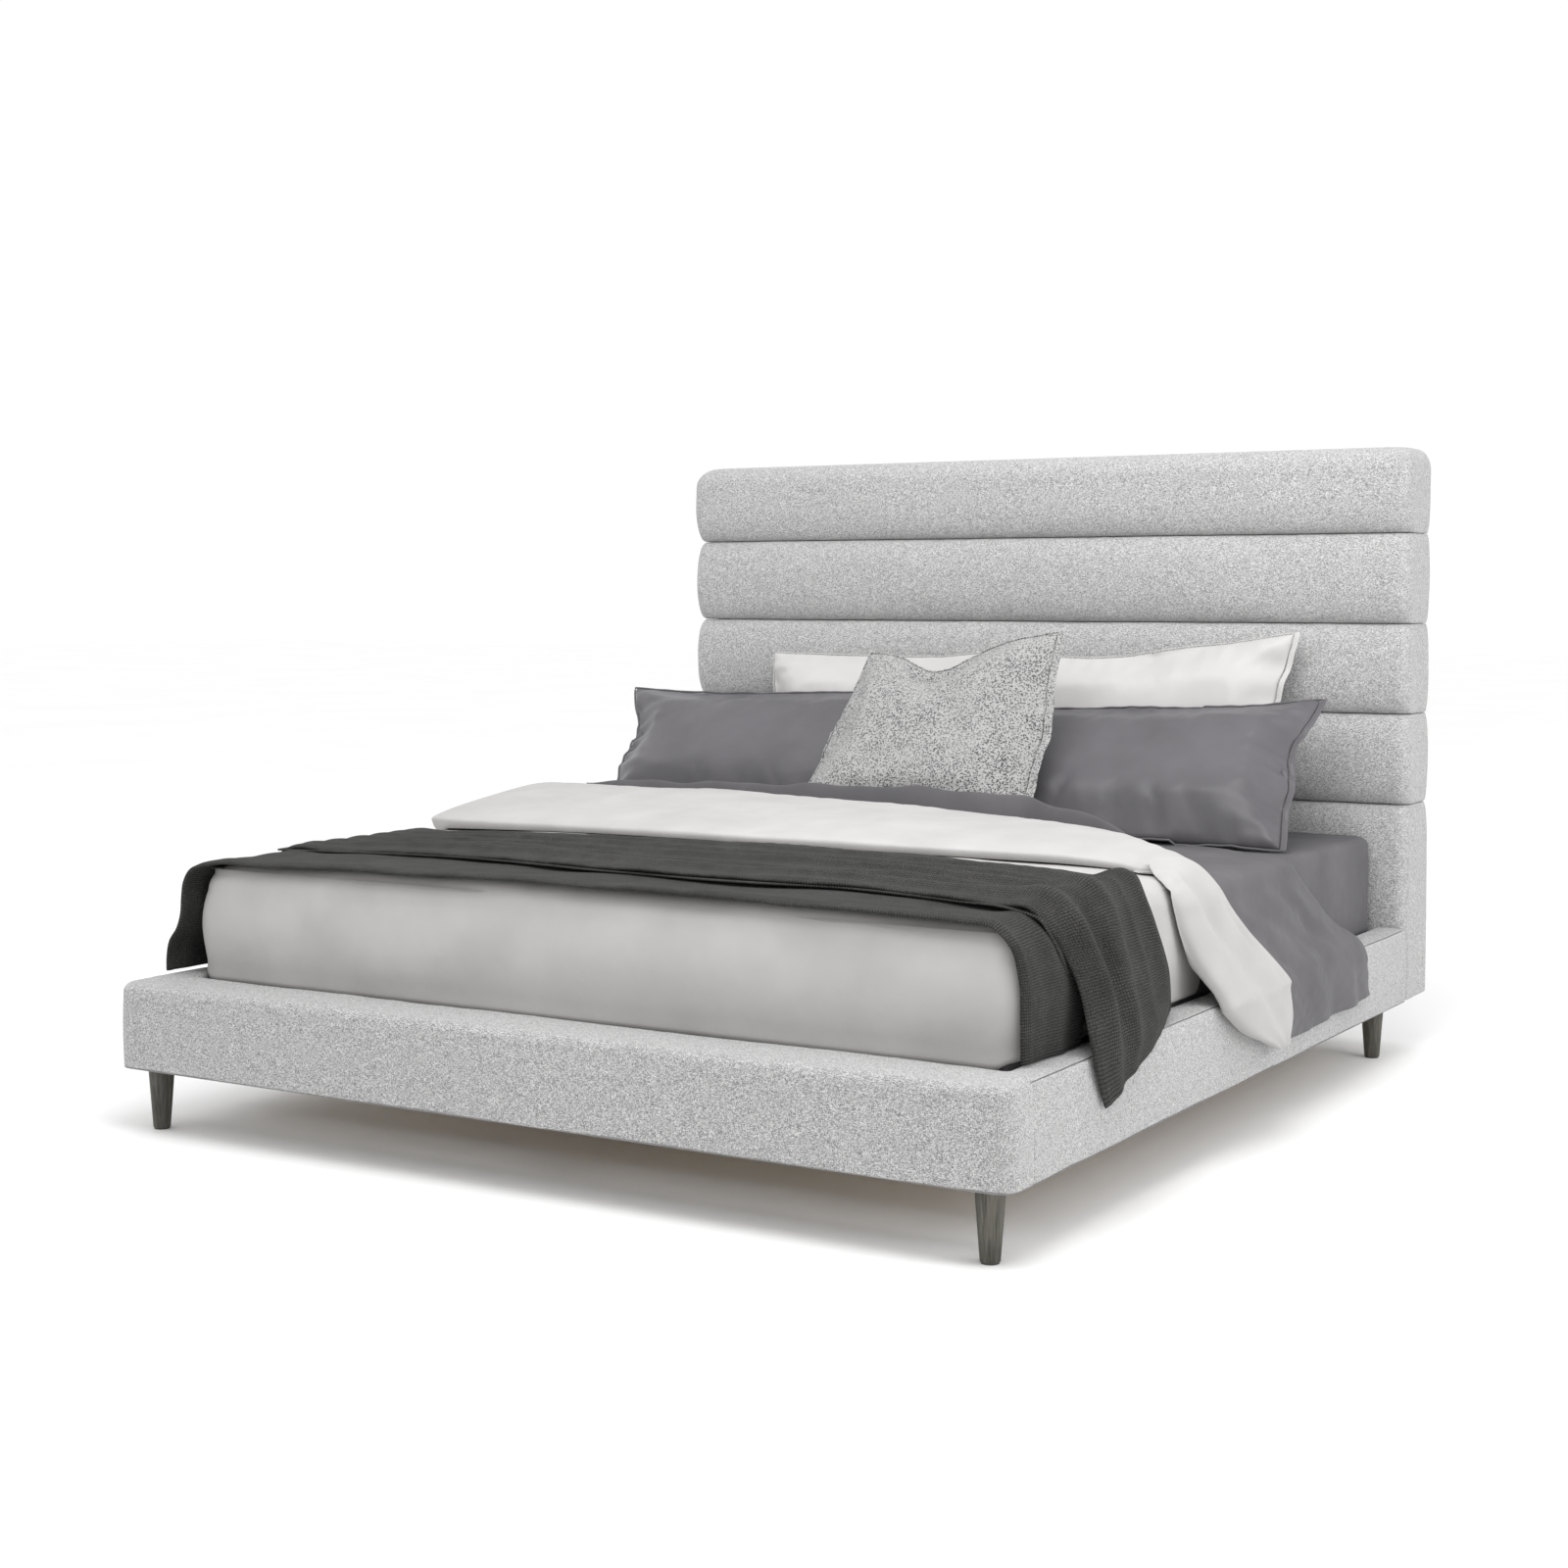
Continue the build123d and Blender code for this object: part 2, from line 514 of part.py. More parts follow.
def duvet():
    main = crowned(DUVET_HALF, DUVET_BOTTOM, DUVET_EDGE, DUVET_CROWN, DUVET_FOOT, DUVET_MAIN_HEAD)
    low = DUVET_SIDE_BOTTOM
    high = DUVET_BOTTOM + 1
    side = block(972, DUVET_HALF, DUVET_FOOT, DUVET_MAIN_HEAD, low, high)
    foot = block(-985, 985, DUVET_FOOT, DUVET_FOOT + 20, low, high)
    tuck = block(-960, 960, DUVET_FOOT, DUVET_FOOT + 20, low - 20, low + 1)
    body = main + side + mirrored(side) + foot + tuck
    roll = crowned(DUVET_HALF - 6, DUVET_BOTTOM, ROLL_EDGE, ROLL_CROWN, ROLL_FOOT, ROLL_HEAD)
    fold = ThreePointArc((ROLL_HEAD, DUVET_BOTTOM), (ROLL_HEAD - 130, DUVET_BOTTOM + ROLL_CROWN),
                         (ROLL_FOOT, DUVET_BOTTOM + 22))
    under = Polyline((ROLL_FOOT, DUVET_BOTTOM + 22), (ROLL_FOOT, DUVET_BOTTOM),
                     (ROLL_HEAD, DUVET_BOTTOM))
    roll = roll & along_x(fold + under, -HALF_W, HALF_W)
    return body + roll + duvet_corner()


def duvet_corner():
    """The turned-over part hangs over the right rail and gathers to a corner."""
    face = HALF_W + HANG_GAP
    under = [(960, DUVET_BOTTOM + 45), (960, DUVET_BOTTOM), (975, DUVET_BOTTOM), (face, 345), (face, 180)]
    over = [(face + 22, 180), (face + 27, 350), (1035, 480), (985, DUVET_BOTTOM + 38)]
    hung = along_y(closed(under + over), CORNER_FOOT, CORNER_HEAD)
    outline = closed([(CORNER_FOOT, 640), (CORNER_FOOT, 400), (-280, 320), (-45, 225), (15, 180),
                      (105, 190), (CORNER_HEAD, 330), (CORNER_HEAD, 640)])
    return hung & along_x(outline, 900, 1150)


def throw():
    """A folded throw across the foot: it hangs on both sides and over the right rail."""
    inner = DUVET_HALF + GAP
    under = crowned(inner, DUVET_BOTTOM, DUVET_EDGE + GAP, DUVET_CROWN + GAP, THROW_FOOT, THROW_HEAD)
    over = crowned(inner + THROW, DUVET_BOTTOM, DUVET_EDGE + THROW, DUVET_CROWN + THROW,
                   THROW_FOOT, THROW_HEAD)
    side = block(inner, inner + THROW, THROW_FOOT, THROW_HEAD, DUVET_SIDE_BOTTOM + 2, DUVET_BOTTOM + 1)
    room = block(-inner, inner, THROW_FOOT, THROW_HEAD, DUVET_BOTTOM - 1, DUVET_BOTTOM + 8)
    body = over - under - room
    return body + side + mirrored(side) + throw_corner()


def throw_corner():
    inner = DUVET_HALF + GAP + THROW - 1
    face = HALF_W + HANG_GAP
    slope = [(inner, 500), (inner, 480), (face, 340), (face, 215),
             (face + 12, 215), (face + 12, 350), (inner + 12, 500)]
    hung = along_y(closed(slope), -890, -450)
    outline = closed([(-890, 560), (-890, 360), (-775, 222), (-560, 305), (-450, 440), (-450, 560)])
    return hung & along_x(outline, 950, 1150)


# ---- Pillows ----
def pillow(width, height, thickness, lean, x, y, z):
    """A lens-shaped pillow, leaning back by an angle from the vertical."""
    edge = PILLOW_EDGE / 2
    top = height / 2
    front = ThreePointArc((-edge, -top), (-thickness / 2, 0), (-edge, top))
    back = ThreePointArc((edge, top), (thickness / 2, 0), (edge, -top))
    outline = front + Line((-edge, top), (edge, top)) + back + Line((edge, -top), (-edge, -top))
    lens = along_x(outline, -width / 2, width / 2)
    lens = chamfer(lens.edges().filter_by(Axis.Y), PILLOW_CORNER)
    return Pos(x, y, z) * Rot(-lean, 0, 0) * lens


def bedding_parts():
    return {
        "mattress": mattress(),
        "fitted_sheet": fitted_sheet(),
        "flat_sheet": flat_sheet(),
        "duvet": duvet(),
        "throw": throw(),
        "pillow_white_left": pillow(730, 485, 136, 12, -357, 926, 786),
        "pillow_white_right": pillow(740, 485, 136, 12, 402, 926, 786),
        "pillow_grey_left": pillow(905, 495, 145, 48, -607, 684, 722),
        "pillow_grey_right": pillow(905, 495, 145, 48, 476, 684, 722),
        "pillow_accent": pillow(600, 525, 120, 32, -12, 524, 794),
    }


def main():
    os.makedirs("parts", exist_ok=True)
    sections = (headboard_parts, foot_rail_parts, side_rail_parts, base_parts, leg_parts,
                bedding_parts)
    parts = {}
    for section in sections:
        parts.update(section())
    for name, shape in parts.items():
        export_step(shape, f"parts/{name}.step")
    print(len(parts), "nodes")


main()
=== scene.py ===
"""Looks for an upholstered headboard bed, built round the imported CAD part. Metres, in the part's frame."""
import json
import math

import bpy
import numpy as np
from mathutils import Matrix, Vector


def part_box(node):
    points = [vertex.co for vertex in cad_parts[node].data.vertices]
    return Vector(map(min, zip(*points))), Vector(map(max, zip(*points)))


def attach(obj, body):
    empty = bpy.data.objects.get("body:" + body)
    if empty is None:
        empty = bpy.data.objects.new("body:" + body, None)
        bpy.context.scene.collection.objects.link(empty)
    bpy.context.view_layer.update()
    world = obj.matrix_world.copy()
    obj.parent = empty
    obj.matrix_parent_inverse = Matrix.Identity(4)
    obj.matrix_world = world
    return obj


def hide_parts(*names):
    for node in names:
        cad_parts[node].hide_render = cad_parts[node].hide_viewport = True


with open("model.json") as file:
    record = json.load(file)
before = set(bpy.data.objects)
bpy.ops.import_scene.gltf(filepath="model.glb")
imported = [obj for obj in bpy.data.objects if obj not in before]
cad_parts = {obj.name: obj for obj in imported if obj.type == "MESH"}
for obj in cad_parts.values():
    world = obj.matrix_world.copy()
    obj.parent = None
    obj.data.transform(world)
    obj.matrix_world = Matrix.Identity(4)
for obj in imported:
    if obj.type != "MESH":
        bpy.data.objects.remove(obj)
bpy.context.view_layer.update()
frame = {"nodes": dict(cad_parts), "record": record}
NODES = frame["nodes"]


# ---- Numbers shared by several pieces ----
def low(node):
    return np.array(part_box(node)[0])


def high(node):
    return np.array(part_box(node)[1])


HALF = 1.050
FOOT_Y = -1.200
RAIL_BOTTOM = low("foot_rail_cover")[2]
RAIL_TOP = high("foot_rail_cover")[2]
INNER_X = low("side_rail_cover_right")[0]
INNER_Y = high("foot_rail_cover")[1]
PANEL_Y = high("side_rail_cover_right")[1]
SHEET_TOP = high("flat_sheet")[2]


# ---- Small maths ----
def ripple(points, wavelength, seed, count=7):
    """A smooth random field, about -1 to 1, at each point."""
    rng = np.random.default_rng(seed)
    d = rng.normal(size=(count, 3))
    d /= np.linalg.norm(d, axis=1)[:, None]
    k = 2 * math.pi / (wavelength * rng.uniform(0.7, 1.5, count))
    phase = rng.uniform(0, 2 * math.pi, count)
    p = np.asarray(points, float)
    return np.sin(p @ (d * k[:, None]).T + phase).sum(-1) / math.sqrt(count)


def ease(x, a, b):
    """0 before a, 1 after b, smooth between."""
    t = np.clip((np.asarray(x, float) - a) / (b - a), 0, 1)
    return t * t * (3 - 2 * t)


def bell(x, centre, width):
    """1 at the centre, falling away smoothly to both sides."""
    return np.exp(-(((np.asarray(x, float) - centre) / width) ** 2))


def smooth(points, count):
    """count points along a smooth curve through points, whose first axis runs along the curve."""
    p = np.asarray(points, float)
    step = np.linalg.norm(np.diff(p, axis=0), axis=-1)
    step = step.reshape(len(p) - 1, -1).mean(1)
    knots = np.concatenate([[0], np.cumsum(step)])
    flat = p.reshape(len(p), -1)
    slope = np.gradient(flat, knots, axis=0, edge_order=1)
    t = np.linspace(0, knots[-1], count)
    i = np.clip(np.searchsorted(knots, t, side="right") - 1, 0, len(p) - 2)
    h = (knots[i + 1] - knots[i])[:, None]
    u = (t - knots[i])[:, None] / h
    a, b = flat[i], flat[i + 1]
    made = (a * (1 + 2 * u) * (1 - u) ** 2 + b * u * u * (3 - 2 * u)
            + slope[i] * h * u * (1 - u) ** 2 + slope[i + 1] * h * u * u * (u - 1))
    return made.reshape((count,) + p.shape[1:])


def patch(net, rows, columns):
    """A smooth surface through a net of points, rows x columns points."""
    down = smooth(np.asarray(net, float), rows)
    return smooth(down.swapaxes(0, 1), columns).swapaxes(0, 1)


def grid_normals(g):
    """Unit normals at the points of a grid."""
    across = np.gradient(g, axis=1)
    down = np.gradient(g, axis=0)
    n = np.cross(across, down)
    return n / np.maximum(np.linalg.norm(n, axis=-1)[..., None], 1e-9)


def lengths(g):
    """Distances along the two axes of a grid, in metres: what a weave follows."""
    across = np.linalg.norm(np.diff(g, axis=1), axis=-1).mean(0)
    down = np.linalg.norm(np.diff(g, axis=0), axis=-1).mean(1)
    u = np.concatenate([[0], np.cumsum(across)])
    v = np.concatenate([[0], np.cumsum(down)])
    return np.stack(np.broadcast_arrays(u[None, :], v[:, None]), -1)


# ---- Meshes ----
def add(name, data):
    """A new object in the scene."""
    obj = bpy.data.objects.new(name, data)
    bpy.context.scene.collection.objects.link(obj)
    return obj


def quads(rows, columns, wrap=False, start=0):
    """Faces of a grid whose points are numbered row by row; wrap joins its last column to its first."""
    i = np.arange(rows - 1)[:, None] * columns
    j = np.arange(columns if wrap else columns - 1)[None, :]
    k = (j + 1) % columns
    f = np.stack([i + j, i + k, i + columns + k, i + columns + j], -1)
    return f.reshape(-1, 4) + start


def make(name, points, faces, material, body="frame", cloth=None, sharp=None):
    """A smooth-shaded mesh riding on a body. cloth is its flat position, which a weave follows."""
    mesh = bpy.data.meshes.new(name)
    mesh.from_pydata(np.asarray(points, float).reshape(-1, 3).tolist(), [], [list(map(int, f)) for f in faces])
    mesh.update()
    mesh.shade_smooth()
    if sharp is not None:
        mesh.set_sharp_from_angle(angle=math.radians(sharp))
    if cloth is not None:
        flat = np.zeros((len(mesh.vertices), 3), np.float32)
        c = np.asarray(cloth, float).reshape(-1, 2)
        flat[:, :2] = c[np.arange(len(flat)) % len(c)]
        mesh.attributes.new("cloth", "FLOAT_VECTOR", "POINT").data.foreach_set("vector", flat.ravel())
    mesh.materials.append(material)
    obj = add(name, mesh)
    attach(obj, body)
    return obj


def loft(name, rings, material, body="frame", **more):
    """Closed rings joined in order, with both ends filled."""
    rings = np.asarray(rings, float)
    n, m = rings.shape[:2]
    faces = [list(f) for f in quads(n, m, wrap=True)]
    faces.append(list(range(m))[::-1])
    faces.append([(n - 1) * m + k for k in range(m)])
    return make(name, rings, faces, material, body, **more)


def edge_loop(n, m):
    """Row and column of each point round the edge of a grid of n rows and m columns."""
    loop = ([(0, k) for k in range(m)] + [(r, m - 1) for r in range(1, n)]
            + [(n - 1, k) for k in range(m - 2, -1, -1)] + [(r, 0) for r in range(n - 2, 0, -1)])
    return np.array(loop).T


def slab(name, top, thickness, material, body):
    """A closed sheet: top is its upper side as a grid, and thickness is measured under it."""
    n, m = top.shape[:2]
    t = np.broadcast_to(np.asarray(thickness, float), (n, m))[..., None]
    under = top - grid_normals(top) * t
    count = n * m
    faces = [list(f) for f in quads(n, m)]
    faces += [list(f[::-1]) for f in quads(n, m, start=count)]
    i, j = edge_loop(n, m)
    edge = (i * m + j).tolist()
    for a, b in zip(edge, edge[1:] + edge[:1]):
        faces.append([b, a, a + count, b + count])
    flat = lengths(top).reshape(-1, 2)
    return make(name, np.concatenate([top.reshape(-1, 3), under.reshape(-1, 3)]), faces, material, body,
                cloth=np.concatenate([flat, flat]))


def tube(name, path, radius, material, body="frame", closed=False, sides=8):
    """A round welt or piping along a path."""
    p = np.asarray(path, float)
    along = np.gradient(p, axis=0)
    if closed:
        along = np.roll(p, -1, axis=0) - np.roll(p, 1, axis=0)
    along /= np.linalg.norm(along, axis=1)[:, None]
    up = np.tile([0.123, 0.271, 0.955], (len(p), 1))
    side = np.cross(along, up)
    side /= np.linalg.norm(side, axis=1)[:, None]
    up = np.cross(side, along)
    a = np.linspace(0, 2 * math.pi, sides, endpoint=False)
    rings = (p[:, None] + radius * (np.cos(a)[None, :, None] * side[:, None]
                                    + np.sin(a)[None, :, None] * up[:, None]))
    if closed:
        rings = np.concatenate([rings, rings[:1]])
        n = len(rings) - 1
        faces = quads(n + 1, sides, wrap=True)
        faces = np.where(faces >= n * sides, faces - n * sides, faces)
        return make(name, rings[:n], faces, material, body)
    return loft(name, rings, material, body)


# ---- Materials ----
class Paint:
    """A node material. Its textures read the object's own coordinates, or a piece's cloth attribute."""

    def __init__(self, name, roughness, sheen=0.0, sheen_roughness=0.5, metallic=0.0, specular=0.5):
        self.made = bpy.data.materials.new(name)
        self.made.use_nodes = True
        self.tree = self.made.node_tree
        self.shader = self.tree.nodes["Principled BSDF"]
        self.shader.inputs["Roughness"].default_value = roughness
        self.shader.inputs["Metallic"].default_value = metallic
        self.shader.inputs["Specular IOR Level"].default_value = specular
        self.shader.inputs["Sheen Weight"].default_value = sheen
        self.shader.inputs["Sheen Roughness"].default_value = sheen_roughness
        self.where = self.tree.nodes.new("ShaderNodeTexCoord").outputs["Object"]

    def node(self, kind):
        return self.tree.nodes.new("ShaderNode" + kind)

    def put(self, socket, value):
        if isinstance(value, bpy.types.NodeSocket):
            self.tree.links.new(value, socket)
        else:
            socket.default_value = value

    def cloth(self):
        node = self.node("Attribute")
        node.attribute_name = "cloth"
        return node.outputs["Vector"]

    def scaled(self, stretch):
        node = self.node("Mapping")
        self.put(node.inputs["Vector"], self.where)
        node.inputs["Scale"].default_value = stretch
        return node.outputs[0]

    def noise(self, stretch, detail=2.0, distortion=0.0):
        node = self.node("TexNoise")
        if isinstance(stretch, (int, float)):
            stretch = (stretch,) * 3
        self.put(node.inputs["Vector"], self.scaled(stretch))
        node.inputs["Scale"].default_value = 1.0
        node.inputs["Detail"].default_value = detail
        node.inputs["Distortion"].default_value = distortion
        return node.outputs["Fac"]

    def cells(self, scale):
        node = self.node("TexVoronoi")
        self.put(node.inputs["Vector"], self.where)
        node.inputs["Scale"].default_value = scale
        return node.outputs["Distance"]

    def math(self, how, a, b=0.0):
        node = self.node("Math")
        node.operation = how
        self.put(node.inputs[0], a)
        self.put(node.inputs[1], b)
        return node.outputs[0]

    def axis(self, source, name):
        node = self.node("SeparateXYZ")
        self.put(node.inputs[0], source)
        return node.outputs[name]

    def wave(self, value, pitch):
        """A sine, 0 to 1, along a length in metres."""
        turned = self.math("SINE", self.math("MULTIPLY", value, 2 * math.pi / pitch))
        return self.math("ADD", self.math("MULTIPLY", turned, 0.5), 0.5)

    def blend(self, pairs):
        """The weighted sum of some values."""
        total = None
        for value, weight in pairs:
            part = self.math("MULTIPLY", value, weight)
            total = part if total is None else self.math("ADD", total, part)
        return total

    def ramp(self, value, stops):
        node = self.node("ValToRGB")
        self.put(node.inputs[0], value)
        band = node.color_ramp.elements
        while len(band) < len(stops):
            band.new(0.5)
        for element, (place, colour) in zip(band, stops):
            element.position = place
            if isinstance(colour, (int, float)):
                colour = (colour,) * 3
            element.color = (*colour, 1.0)
        return node.outputs["Color"]

    def colour(self, value):
        self.put(self.shader.inputs["Base Color"], value)

    def rough(self, value, least, most):
        node = self.node("MapRange")
        self.put(node.inputs["Value"], value)
        node.inputs["To Min"].default_value = least
        node.inputs["To Max"].default_value = most
        self.put(self.shader.inputs["Roughness"], node.outputs[0])

    def bump(self, height, distance, strength=1.0):
        node = self.node("Bump")
        node.inputs["Strength"].default_value = strength
        node.inputs["Distance"].default_value = distance
        self.put(node.inputs["Height"], height)
        self.put(self.shader.inputs["Normal"], node.outputs[0])
        return self.made


def linen(name, dark, middle, light):
    """A heathered weave: slubs along three directions, so that every face shows some of each."""
    m = Paint(name, 0.92, sheen=0.25, specular=0.25)
    slubs = [(m.noise((170, 880, 880), 2), 0.30), (m.noise((880, 170, 880), 2), 0.18),
             (m.noise((880, 880, 200), 2), 0.26), (m.noise(520, 1), 0.22), (m.noise(60, 2), 0.04)]
    value = m.blend(slubs)
    m.colour(m.ramp(value, [(0.43, dark), (0.50, middle), (0.56, light)]))
    return m.bump(value, 0.0016, 0.9)


def satin(name, shades, roughness=0.5, sheen=0.2, crease=0.0012):
    """A close cotton weave, with faint creases."""
    m = Paint(name, roughness, sheen=sheen, specular=0.35)
    broad = m.noise(7.0, 3)
    fine = m.noise(900, 1)
    m.colour(m.ramp(m.blend([(broad, 0.75), (fine, 0.25)]), [(0.35, shades[0]), (0.65, shades[1])]))
    m.rough(m.noise(30, 2), roughness - 0.05, roughness + 0.08)
    soft = m.noise((16, 16, 10), 3, distortion=0.6)
    return m.bump(m.blend([(soft, 1.0), (fine, 0.05)]), crease, 0.8)


def knit(name):
    """Ribbed knit: rows across the length of the throw, stitches along them."""
    m = Paint(name, 0.95, sheen=0.06, specular=0.12)
    flat = m.cloth()
    wobble = m.math("MULTIPLY", m.noise(30, 2), 0.005)
    rows = m.wave(m.math("ADD", m.axis(flat, "X"), wobble), 0.0056)
    stitches = m.wave(m.math("ADD", m.axis(flat, "Y"), wobble), 0.0060)
    height = m.blend([(rows, 0.35), (m.math("MULTIPLY", rows, stitches), 0.65)])
    fuzz = m.noise(380, 2)
    value = m.blend([(height, 0.22), (fuzz, 0.60), (m.noise(18, 2), 0.18)])
    m.colour(m.ramp(value, [(0.28, (0.014, 0.014, 0.0135)), (0.48, (0.034, 0.034, 0.0325)),
                            (0.68, (0.080, 0.079, 0.075))]))
    return m.bump(m.blend([(height, 1.0), (fuzz, 0.5)]), 0.0020, 0.9)


def tweed(name):
    """Curly yarn: light loops with dark flecks between them."""
    m = Paint(name, 0.95, sheen=0.3, specular=0.2)
    loops = m.cells(205)
    curls = m.noise(330, 2, distortion=1.2)
    value = m.blend([(loops, 0.45), (curls, 0.7), (m.noise(16, 2), 0.14)])
    m.colour(m.ramp(value, [(0.51, (0.026, 0.026, 0.028)), (0.575, (0.150, 0.150, 0.152)),
                            (0.64, (0.43, 0.43, 0.426))]))
    return m.bump(m.blend([(curls, 1.0), (m.math("SUBTRACT", 1.0, loops), 0.8)]), 0.0035, 1.0)


def leg_wood(name):
    """Weathered grey-brown timber with grain up the leg."""
    m = Paint(name, 0.55, specular=0.4)
    grain = m.noise((150, 150, 6), 4, distortion=0.8)
    pores = m.noise((420, 420, 16), 2)
    broad = m.noise((25, 25, 5), 2)
    value = m.blend([(grain, 0.5), (pores, 0.2), (broad, 0.3)])
    m.colour(m.ramp(value, [(0.36, (0.026, 0.0235, 0.018)), (0.5, (0.070, 0.066, 0.053)),
                            (0.64, (0.128, 0.120, 0.098))]))
    m.rough(grain, 0.45, 0.7)
    return m.bump(value, 0.0012, 0.8)


def timber(name, dark, light, along=(60, 5, 60)):
    m = Paint(name, 0.6, specular=0.35)
    grain = m.noise(along, 4, distortion=1.5)
    pores = m.noise(tuple(a * 6 for a in along), 1)
    value = m.blend([(grain, 0.7), (pores, 0.3)])
    m.colour(m.ramp(value, [(0.35, dark), (0.65, light)]))
    m.rough(grain, 0.5, 0.72)
    return m.bump(value, 0.0008, 0.6)


def plywood(name):
    """Plies show as stripes on the edges, and broad grain on the faces."""
    m = Paint(name, 0.65, specular=0.3)
    across = m.axis(m.where, "Y")
    plies = m.wave(m.math("ADD", across, m.axis(m.where, "Z")), 0.006)
    grain = m.noise((4, 40, 40), 4, distortion=1.0)
    value = m.blend([(plies, 0.3), (grain, 0.7)])
    m.colour(m.ramp(value, [(0.3, (0.36, 0.25, 0.15)), (0.7, (0.66, 0.52, 0.35))]))
    return m.bump(grain, 0.0008, 0.6)


def metal(name, dark, light, roughness, metallic):
    m = Paint(name, roughness, metallic=metallic)
    speck = m.noise(700, 2)
    m.colour(m.ramp(speck, [(0.35, dark), (0.65, light)]))
    m.rough(m.noise(160, 2), roughness - 0.08, roughness + 0.1)
    return m.bump(speck, 0.0003, 0.5)


def dust_cloth(name):
    """Thin close-woven lining."""
    m = Paint(name, 0.95, specular=0.1)
    weave = m.math("MULTIPLY", m.wave(m.axis(m.where, "X"), 0.003), m.wave(m.axis(m.where, "Z"), 0.003))
    value = m.blend([(weave, 0.4), (m.noise(140, 2), 0.6)])
    m.colour(m.ramp(value, [(0.2, 0.16), (0.6, 0.27)]))
    return m.bump(value, 0.0006, 0.6)


def ticking(name):
    """Mattress cloth with woven stripes."""
    m = Paint(name, 0.85, sheen=0.15, specular=0.25)
    stripe = m.wave(m.axis(m.where, "X"), 0.05)
    value = m.blend([(stripe, 0.6), (m.noise(400, 1), 0.4)])
    m.colour(m.ramp(value, [(0.25, (0.60, 0.59, 0.56)), (0.7, (0.80, 0.79, 0.76))]))
    return m.bump(value, 0.001, 0.6)


UPHOLSTERY = linen("heather_linen", 0.155, 0.350, 0.60)
BACK_FABRIC = dust_cloth("back_lining")
TICKING = ticking("mattress_ticking")
SHEET_GREY = satin("sheet_sateen", ((0.084, 0.081, 0.087), (0.112, 0.108, 0.115)), 0.65, 0.04)
PILLOW_GREY = satin("pillow_sateen", ((0.084, 0.081, 0.088), (0.108, 0.104, 0.113)), 0.42, 0.06)
PILLOW_WHITE = satin("pillow_cotton", ((0.47, 0.465, 0.456), (0.515, 0.510, 0.501)), 0.8, 0.10)
DUVET_WHITE = satin("duvet_cotton", ((0.400, 0.392, 0.385), (0.455, 0.446, 0.438)), 0.8, 0.08, 0.002)
KNIT = knit("charcoal_knit")
TWEED = tweed("boucle_tweed")
LEG_WOOD = leg_wood("weathered_wood")
TIMBER = timber("planed_pine", (0.52, 0.36, 0.20), (0.74, 0.58, 0.38), (5, 60, 60))
PLYWOOD = plywood("plywood")
STEEL = metal("powder_coated_steel", 0.03, 0.055, 0.5, 0.0)
ZINC = metal("zinc_plate", 0.48, 0.66, 0.35, 1.0)
PLASTIC = metal("glide_plastic", 0.035, 0.05, 0.55, 0.0)

CAD_LOOKS = {
    "leg_wood": LEG_WOOD, "timber": TIMBER, "plywood": PLYWOOD, "bracket_steel": STEEL,
    "zinc": ZINC, "glide_plastic": PLASTIC,
}
for part in frame["record"]["subparts"]:
    look = CAD_LOOKS.get(part["material_slot"])
    if look is not None:
        node = NODES[part["node"]]
        node.data.materials.clear()
        node.data.materials.append(look)


def soft(piece, slot, *nodes):
    """The material slot of a new piece, which is not used, and the CAD nodes that it stands for, which are hidden."""
    if nodes:
        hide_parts(*nodes)
    return piece


# ---- Headboard ----
def plan_ring(half, front, back, radius, z, back_radius=0.004):
    """One level of the headboard seen from above: rounded front corners, and the same count of points at any size."""
    straight = np.linspace(-(half - radius), half - radius, 150)
    turn = np.linspace(0, math.pi / 2, 9)[1:-1]
    x, y = [straight], [np.full_like(straight, front)]
    x.append(half - radius + radius * np.sin(turn))
    y.append(front + radius - radius * np.cos(turn))
    side = np.linspace(front + radius, back - back_radius, 12)
    x.append(np.full_like(side, half))
    y.append(side)
    x.append(np.array([half - back_radius * 0.3, half - back_radius]))
    y.append(np.array([back - back_radius * 0.3, back]))
    across = np.linspace(half - 0.05, -half + 0.05, 24)
    x.append(across)
    y.append(np.full_like(across, back))
    x.append(np.array([-half + back_radius, -half + back_radius * 0.3]))
    y.append(np.array([back, back - back_radius * 0.3]))
    x.append(np.full_like(side, -half))
    y.append(side[::-1])
    x.append(-(half - radius + radius * np.sin(turn[::-1])))
    y.append(front + radius - radius * np.cos(turn[::-1]))
    x, y = np.concatenate(x), np.concatenate(y)
    return np.stack([x, y, np.full_like(x, z)], 1)


SEAM_GAP = 0.0007    # half the gap between two rolls
ROLL_POWER = 2.25    # how square a roll's section is: 2 is an ellipse
GROOVE_INSET = 0.014
GROOVE_Y = 1.057
FRONT_Y = 1.016
SIDE_BULGE = 0.010
BACK_Y = 1.194
CORNER = 0.030


def bulged(z, q, inset=0.0):
    """The ring of a roll at height z: q is 0 in the groove and 1 at the fullest."""
    depth = GROOVE_Y - FRONT_Y
    front = GROOVE_Y - depth * q + inset
    half = HALF - SIDE_BULGE * (1 - q) - inset
    return plan_ring(half, front, BACK_Y, CORNER, z)


